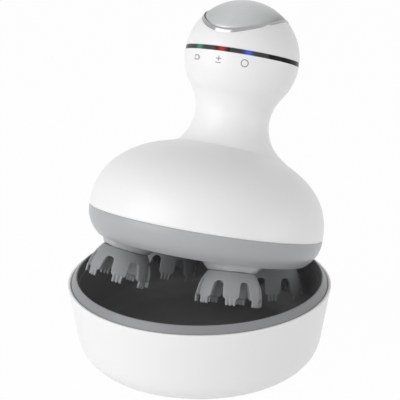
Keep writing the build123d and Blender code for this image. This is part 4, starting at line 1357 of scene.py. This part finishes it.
def dock_shell_object(dock):
    """The dock's white shell, open below for its cover and at the back for its inlet."""
    lip_in = dock.lip - dock.lip_width
    inner = dock.bend - dock.wall
    run = (dock.lip - dock.bend) / (dock.lip_level - dock.bend_level)
    seat_in = (inner + run * (dock.rim_seat - dock.bend_level), dock.rim_seat)
    top = soften([(dock.bend, dock.bend_level), (dock.lip, dock.lip_level), (lip_in, dock.lip_level),
                  (lip_in, dock.rim_seat), seat_in, (inner, dock.bend_level)],
                 [0, 0.0006, 0.0006, 0, 0, 0], steps=6)
    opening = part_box("foot_pad")[1][0] + 0.0005
    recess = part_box("base_cover")[1][0] + 0.00015
    cover = dock.foot_level + 0.0016
    foot = [(opening, cover + dock.wall), (opening, cover), (recess, cover), (recess, dock.foot_level)]
    profile = foot_curve(dock, 0.0) + [tuple(p) for p in top] + foot_curve(dock, dock.wall)[::-1] + foot
    shell = lathe("dock_white_shell", profile, closed=True, count=DOCK_SEGMENTS, smooth_angle=50)
    low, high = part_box("charge_inlet")
    gap = 0.0002
    cut(shell, [box_object("inlet_cut", [(low[0] - gap, high[0] + gap), (low[1] - 0.004, high[1] + 0.01),
                                         (low[2] - gap, high[2] + gap)])])
    return shell


def dock_rim_object(dock):
    """The dock's grey bevelled rim, set inside the lip."""
    outside = dock.lip - dock.lip_width - 0.00015
    section = [(dock.rim_inner, dock.rim_seat), (outside, dock.rim_seat), (outside, dock.lip_level),
               (dock.rim_inner + dock.crown, dock.rim_top), (dock.rim_inner, dock.rim_top - dock.crown / 2)]
    section = soften(section, [0, 0, 0.0003, 0.0007, 0.0007], closed=True, steps=6)
    return lathe("dock_grey_rim", section, closed=True, count=DOCK_SEGMENTS)


def dock_bowl_object(dock):
    """The dock's dark bowl with its flange under the rim."""
    flat = dock.liner_low - dock.liner_bend
    bend = dock.floor + dock.liner_bend
    outside = dock.liner_bend + dock.liner_wall
    under = dock.rim_seat - dock.liner_wall
    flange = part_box("dock_liner")[1][0]
    section = [(0, dock.floor), (0.01, dock.floor), (flat * 0.6, dock.floor)]
    for turn in np.linspace(-math.pi / 2, 0, 14):
        section.append((flat + dock.liner_bend * math.cos(turn), bend + dock.liner_bend * math.sin(turn)))
    section += [(dock.liner_top, dock.rim_seat), (flange, dock.rim_seat), (flange, under),
                (dock.liner_top + dock.liner_wall, under)]
    for turn in np.linspace(0, -math.pi / 2, 14):
        section.append((flat + outside * math.cos(turn), bend + outside * math.sin(turn)))
    section.append((0, dock.floor - dock.liner_wall))
    return lathe("dock_bowl", section)


def contact_post_object(dock):
    """The rounded post that carries the dock's spring pins."""
    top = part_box("contact_post")[1]
    return disc("contact_post_cap", top[0], dock.floor - dock.liner_wall, top[2], count=64, edge=0.0012)


class MASSAGER_OT_dock(bpy.types.Operator):
    """Make the dock's white shell, its grey rim, its dark bowl and its contact post."""

    bl_idname = "massager.dock"
    bl_label = "Dock"

    def execute(self, context):
        scene = context.scene
        dock, colours = scene.massager_dock, scene.massager_colours
        grey = moulded("Grey satin rim", colours.rim, 0.38, bump=0.10)
        dark = dark_liner(colours)
        for obj, slot, finish, node in (
            (dock_shell_object(dock), "white_shell", white_shell(colours), "dock_shell"),
            (dock_rim_object(dock), "grey_rim", grey, "dock_rim"),
            (dock_bowl_object(dock), "dark_liner", dark, "dock_liner"),
            (contact_post_object(dock), "dark_liner", dark, "contact_post"),
        ):
            finish_piece(obj, UPRIGHT, "dock", finish, [node])
        return {"FINISHED"}


# ---------------------------------------------------------------- screws
def screw_object(bottom, top, head_height):
    """A screw about the Z axis, head down, with a cross cut in its head."""
    neck = bottom + head_height
    profile = soften([(0, bottom), (SCREW_HEAD, bottom), (SCREW_HEAD, neck), (SCREW_SHANK, neck),
                      (SCREW_SHANK, top - 0.0008), (0, top)], [0, 0.0004, 0.0001, 0, 0, 0], steps=4)
    screw = lathe("screw", profile, count=32)
    for half_x, half_y in ((SLOT_LENGTH, SLOT_WIDTH), (SLOT_WIDTH, SLOT_LENGTH)):
        cut(screw, [box_object("slot", [(-half_x, half_x), (-half_y, half_y),
                                        (bottom - 0.001, bottom + SLOT_DEPTH)])])
    return screw


class MASSAGER_OT_screws(bpy.types.Operator):
    """Make the cross-head screws under the housing and under the dock."""

    bl_idname = "massager.screws"
    bl_label = "Screws"

    def execute(self, context):
        steel = zinc_steel()
        housing, dock = local_box("housing_screws"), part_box("dock_screws")
        dock_circle = (dock[1][0] - SCREW_HEAD) * math.sqrt(2)
        for name, node, body, matrix, (low, high), circle_radius, start, head_height in (
            ("housing_screw_set", "housing_screws", "massager", MASSAGER, housing, SCREW_CIRCLE, 0.0, 0.0016),
            ("dock_screw_set", "dock_screws", "dock", UPRIGHT, dock, dock_circle, math.pi / 4, 0.0008),
        ):
            screw = screw_object(low[2], high[2], head_height)
            screw.data.transform(Matrix.Translation((circle_radius, 0, 0)))
            run_tree(screw, "Ring of pieces", {"Count": 4, "Start": start, "Material": steel})
            screw.name = name
            finish_piece(screw, matrix, body, steel, [node])
        return {"FINISHED"}


# ---------------------------------------------------------------- carried-over nodes
class MASSAGER_OT_inner_pieces(bpy.types.Operator):
    """Give the pieces that keep their CAD form their finishes."""

    bl_idname = "massager.inner_pieces"
    bl_label = "Inner pieces"

    def execute(self, context):
        colours = context.scene.massager_colours
        finishes = {
            "dark_plastic": moulded("Black plastic", (0.06, 0.06, 0.065), 0.5, shade=0.85),
            "dark_liner": dark_liner(colours),
            "led": moulded("Light lens", (0.85, 0.85, 0.80), 0.25, bump=0.05),
            "circuit_board": moulded("Solder mask", (0.03, 0.20, 0.08), 0.35, shade=0.7),
            "cell_sleeve": moulded("Cell sleeve", (0.05, 0.18, 0.40), 0.3, shade=0.9),
            "grey_silicone": grey_silicone(colours),
            "nylon": moulded("Natural nylon", (0.78, 0.77, 0.72), 0.45, shade=0.94),
            "steel": zinc_steel(),
            "brass": brushed("Turned brass", (0.72, 0.55, 0.27), 0.3),
            "black_rubber": moulded("Black rubber", (0.03, 0.03, 0.03), 0.7, bump=0.4, shade=0.8),
            "white_shell": white_shell(colours),
        }
        slots = {row["node"]: row["material_slot"] for row in frame["record"]["subparts"]}
        for name, obj in frame["nodes"].items():
            finish = finishes.get(slots.get(name))
            if finish:
                for slot in obj.material_slots:
                    slot.material = finish
        return {"FINISHED"}


# ---------------------------------------------------------------- stage
def camera_share(tree, weight):
    """Share of camera, mirror and glass rays that see a surface as plain white."""
    rays = add_node(tree, "ShaderNodeLightPath")
    seen = add_math(tree, "MAXIMUM", rays.outputs["Is Camera Ray"], rays.outputs["Is Glossy Ray"])
    seen = add_math(tree, "MAXIMUM", seen, rays.outputs["Is Transmission Ray"])
    return add_math(tree, "MULTIPLY", seen, weight)


def stage_material():
    """Pale floor that keeps a soft shadow."""
    mat = bpy.data.materials.new("Pale floor")
    mat.use_nodes = True
    tree = mat.node_tree
    tree.nodes.clear()
    matt = add_node(tree, "ShaderNodeBsdfDiffuse", {"Color": (0.9, 0.9, 0.9, 1)})
    glow = add_node(tree, "ShaderNodeEmission")
    mix = add_node(tree, "ShaderNodeMixShader", {
        0: camera_share(tree, 0.97), 1: matt.outputs[0], 2: glow.outputs[0],
    })
    add_node(tree, "ShaderNodeOutputMaterial", {0: mix.outputs[0]})
    return mat


def studio_world():
    """White where it is seen; as a light it is softer, and least from overhead."""
    world = bpy.data.worlds.new("Studio")
    world.use_nodes = True
    tree = world.node_tree
    ambient, overhead = 0.71, 0.37
    place = add_node(tree, "ShaderNodeTexCoord")
    split = add_node(tree, "ShaderNodeSeparateXYZ", {0: place.outputs["Object"]})
    height = add_math(tree, "ABSOLUTE", split.outputs["Z"], 0.0)
    sky = add_math(tree, "SUBTRACT", ambient, add_math(tree, "MULTIPLY", height, overhead))
    share = camera_share(tree, 1.0)
    unseen = add_math(tree, "SUBTRACT", 1.0, share)
    strength = add_math(tree, "ADD", share, add_math(tree, "MULTIPLY", unseen, sky))
    feed(tree, tree.nodes["Background"], {"Color": (1, 1, 1, 1), "Strength": strength})
    return world


def area_light(name, place, target, size, power):
    """A soft square lamp."""
    data = bpy.data.lights.new(name, "AREA")
    data.size = size
    data.energy = power
    lamp = bpy.data.objects.new(name, data)
    lamp.location = place
    lamp.rotation_euler = (Vector(target) - Vector(place)).to_track_quat("-Z", "Y").to_euler()
    bpy.context.scene.collection.objects.link(lamp)


class MASSAGER_OT_stage(bpy.types.Operator):
    """Set the floor, the lamps, the world and the camera."""

    bl_idname = "massager.stage"
    bl_label = "Stage"

    def execute(self, context):
        scene = context.scene
        half = 6.0
        mesh = bpy.data.meshes.new("floor")
        mesh.from_pydata([(-half, -half, 0), (half, -half, 0), (half, half, 0), (-half, half, 0)], [],
                         [(0, 1, 2, 3)])
        mesh.materials.append(stage_material())
        floor = bpy.data.objects.new("floor", mesh)
        scene.collection.objects.link(floor)
        scene.world = studio_world()
        middle = (0.0, 0.0, 0.07)
        area_light("key", (-0.70, -0.45, 0.38), middle, 0.8, 4.0)
        area_light("front", (0.05, -0.75, 0.10), middle, 0.6, 0.65)
        area_light("fill", (0.44, -0.19, 0.03), middle, 0.35, 0.45)
        camera = bpy.data.cameras.new("camera")
        camera.sensor_width = 36
        camera.lens = 144
        look_down = math.radians(20.387)
        eye = bpy.data.objects.new("camera", camera)
        eye.location = (0.000246, -0.663944, 0.322640)
        eye.rotation_euler = (math.pi / 2 - look_down, 0, 0)
        scene.collection.objects.link(eye)
        scene.camera = eye
        scene.view_settings.view_transform = "Standard"
        return {"FINISHED"}


class MASSAGER_PT_panel(bpy.types.Panel):
    """Lists the pieces that can be made."""

    bl_idname = "MASSAGER_PT_panel"
    bl_label = "Massager"
    bl_space_type = "VIEW_3D"
    bl_region_type = "UI"
    bl_category = "Massager"

    def draw(self, context):
        for operator in OPERATORS:
            self.layout.operator(operator.bl_idname)
        for name in SETTINGS:
            box = self.layout.box()
            group = getattr(context.scene, name)
            for item in group.bl_rna.properties:
                if item.identifier not in ("rna_type", "name"):
                    box.prop(group, item.identifier)


OPERATORS = (
    MASSAGER_OT_stage,
    MASSAGER_OT_dock,
    MASSAGER_OT_upper_housing,
    MASSAGER_OT_lower_housing,
    MASSAGER_OT_knob,
    MASSAGER_OT_button,
    MASSAGER_OT_marks,
    MASSAGER_OT_heads,
    MASSAGER_OT_screws,
    MASSAGER_OT_inner_pieces,
)
CLASSES = tuple(SETTINGS.values()) + OPERATORS + (MASSAGER_PT_panel,)


def register():
    for cls in CLASSES:
        bpy.utils.register_class(cls)
    for name, cls in SETTINGS.items():
        setattr(bpy.types.Scene, name, PointerProperty(type=cls))


def unregister():
    for name in SETTINGS:
        delattr(bpy.types.Scene, name)
    for cls in reversed(CLASSES):
        bpy.utils.unregister_class(cls)


def main():
    register()
    for operator in OPERATORS:
        family, name = operator.bl_idname.split(".")
        getattr(getattr(bpy.ops, family), name)()


if __name__ == "__main__":
    main()
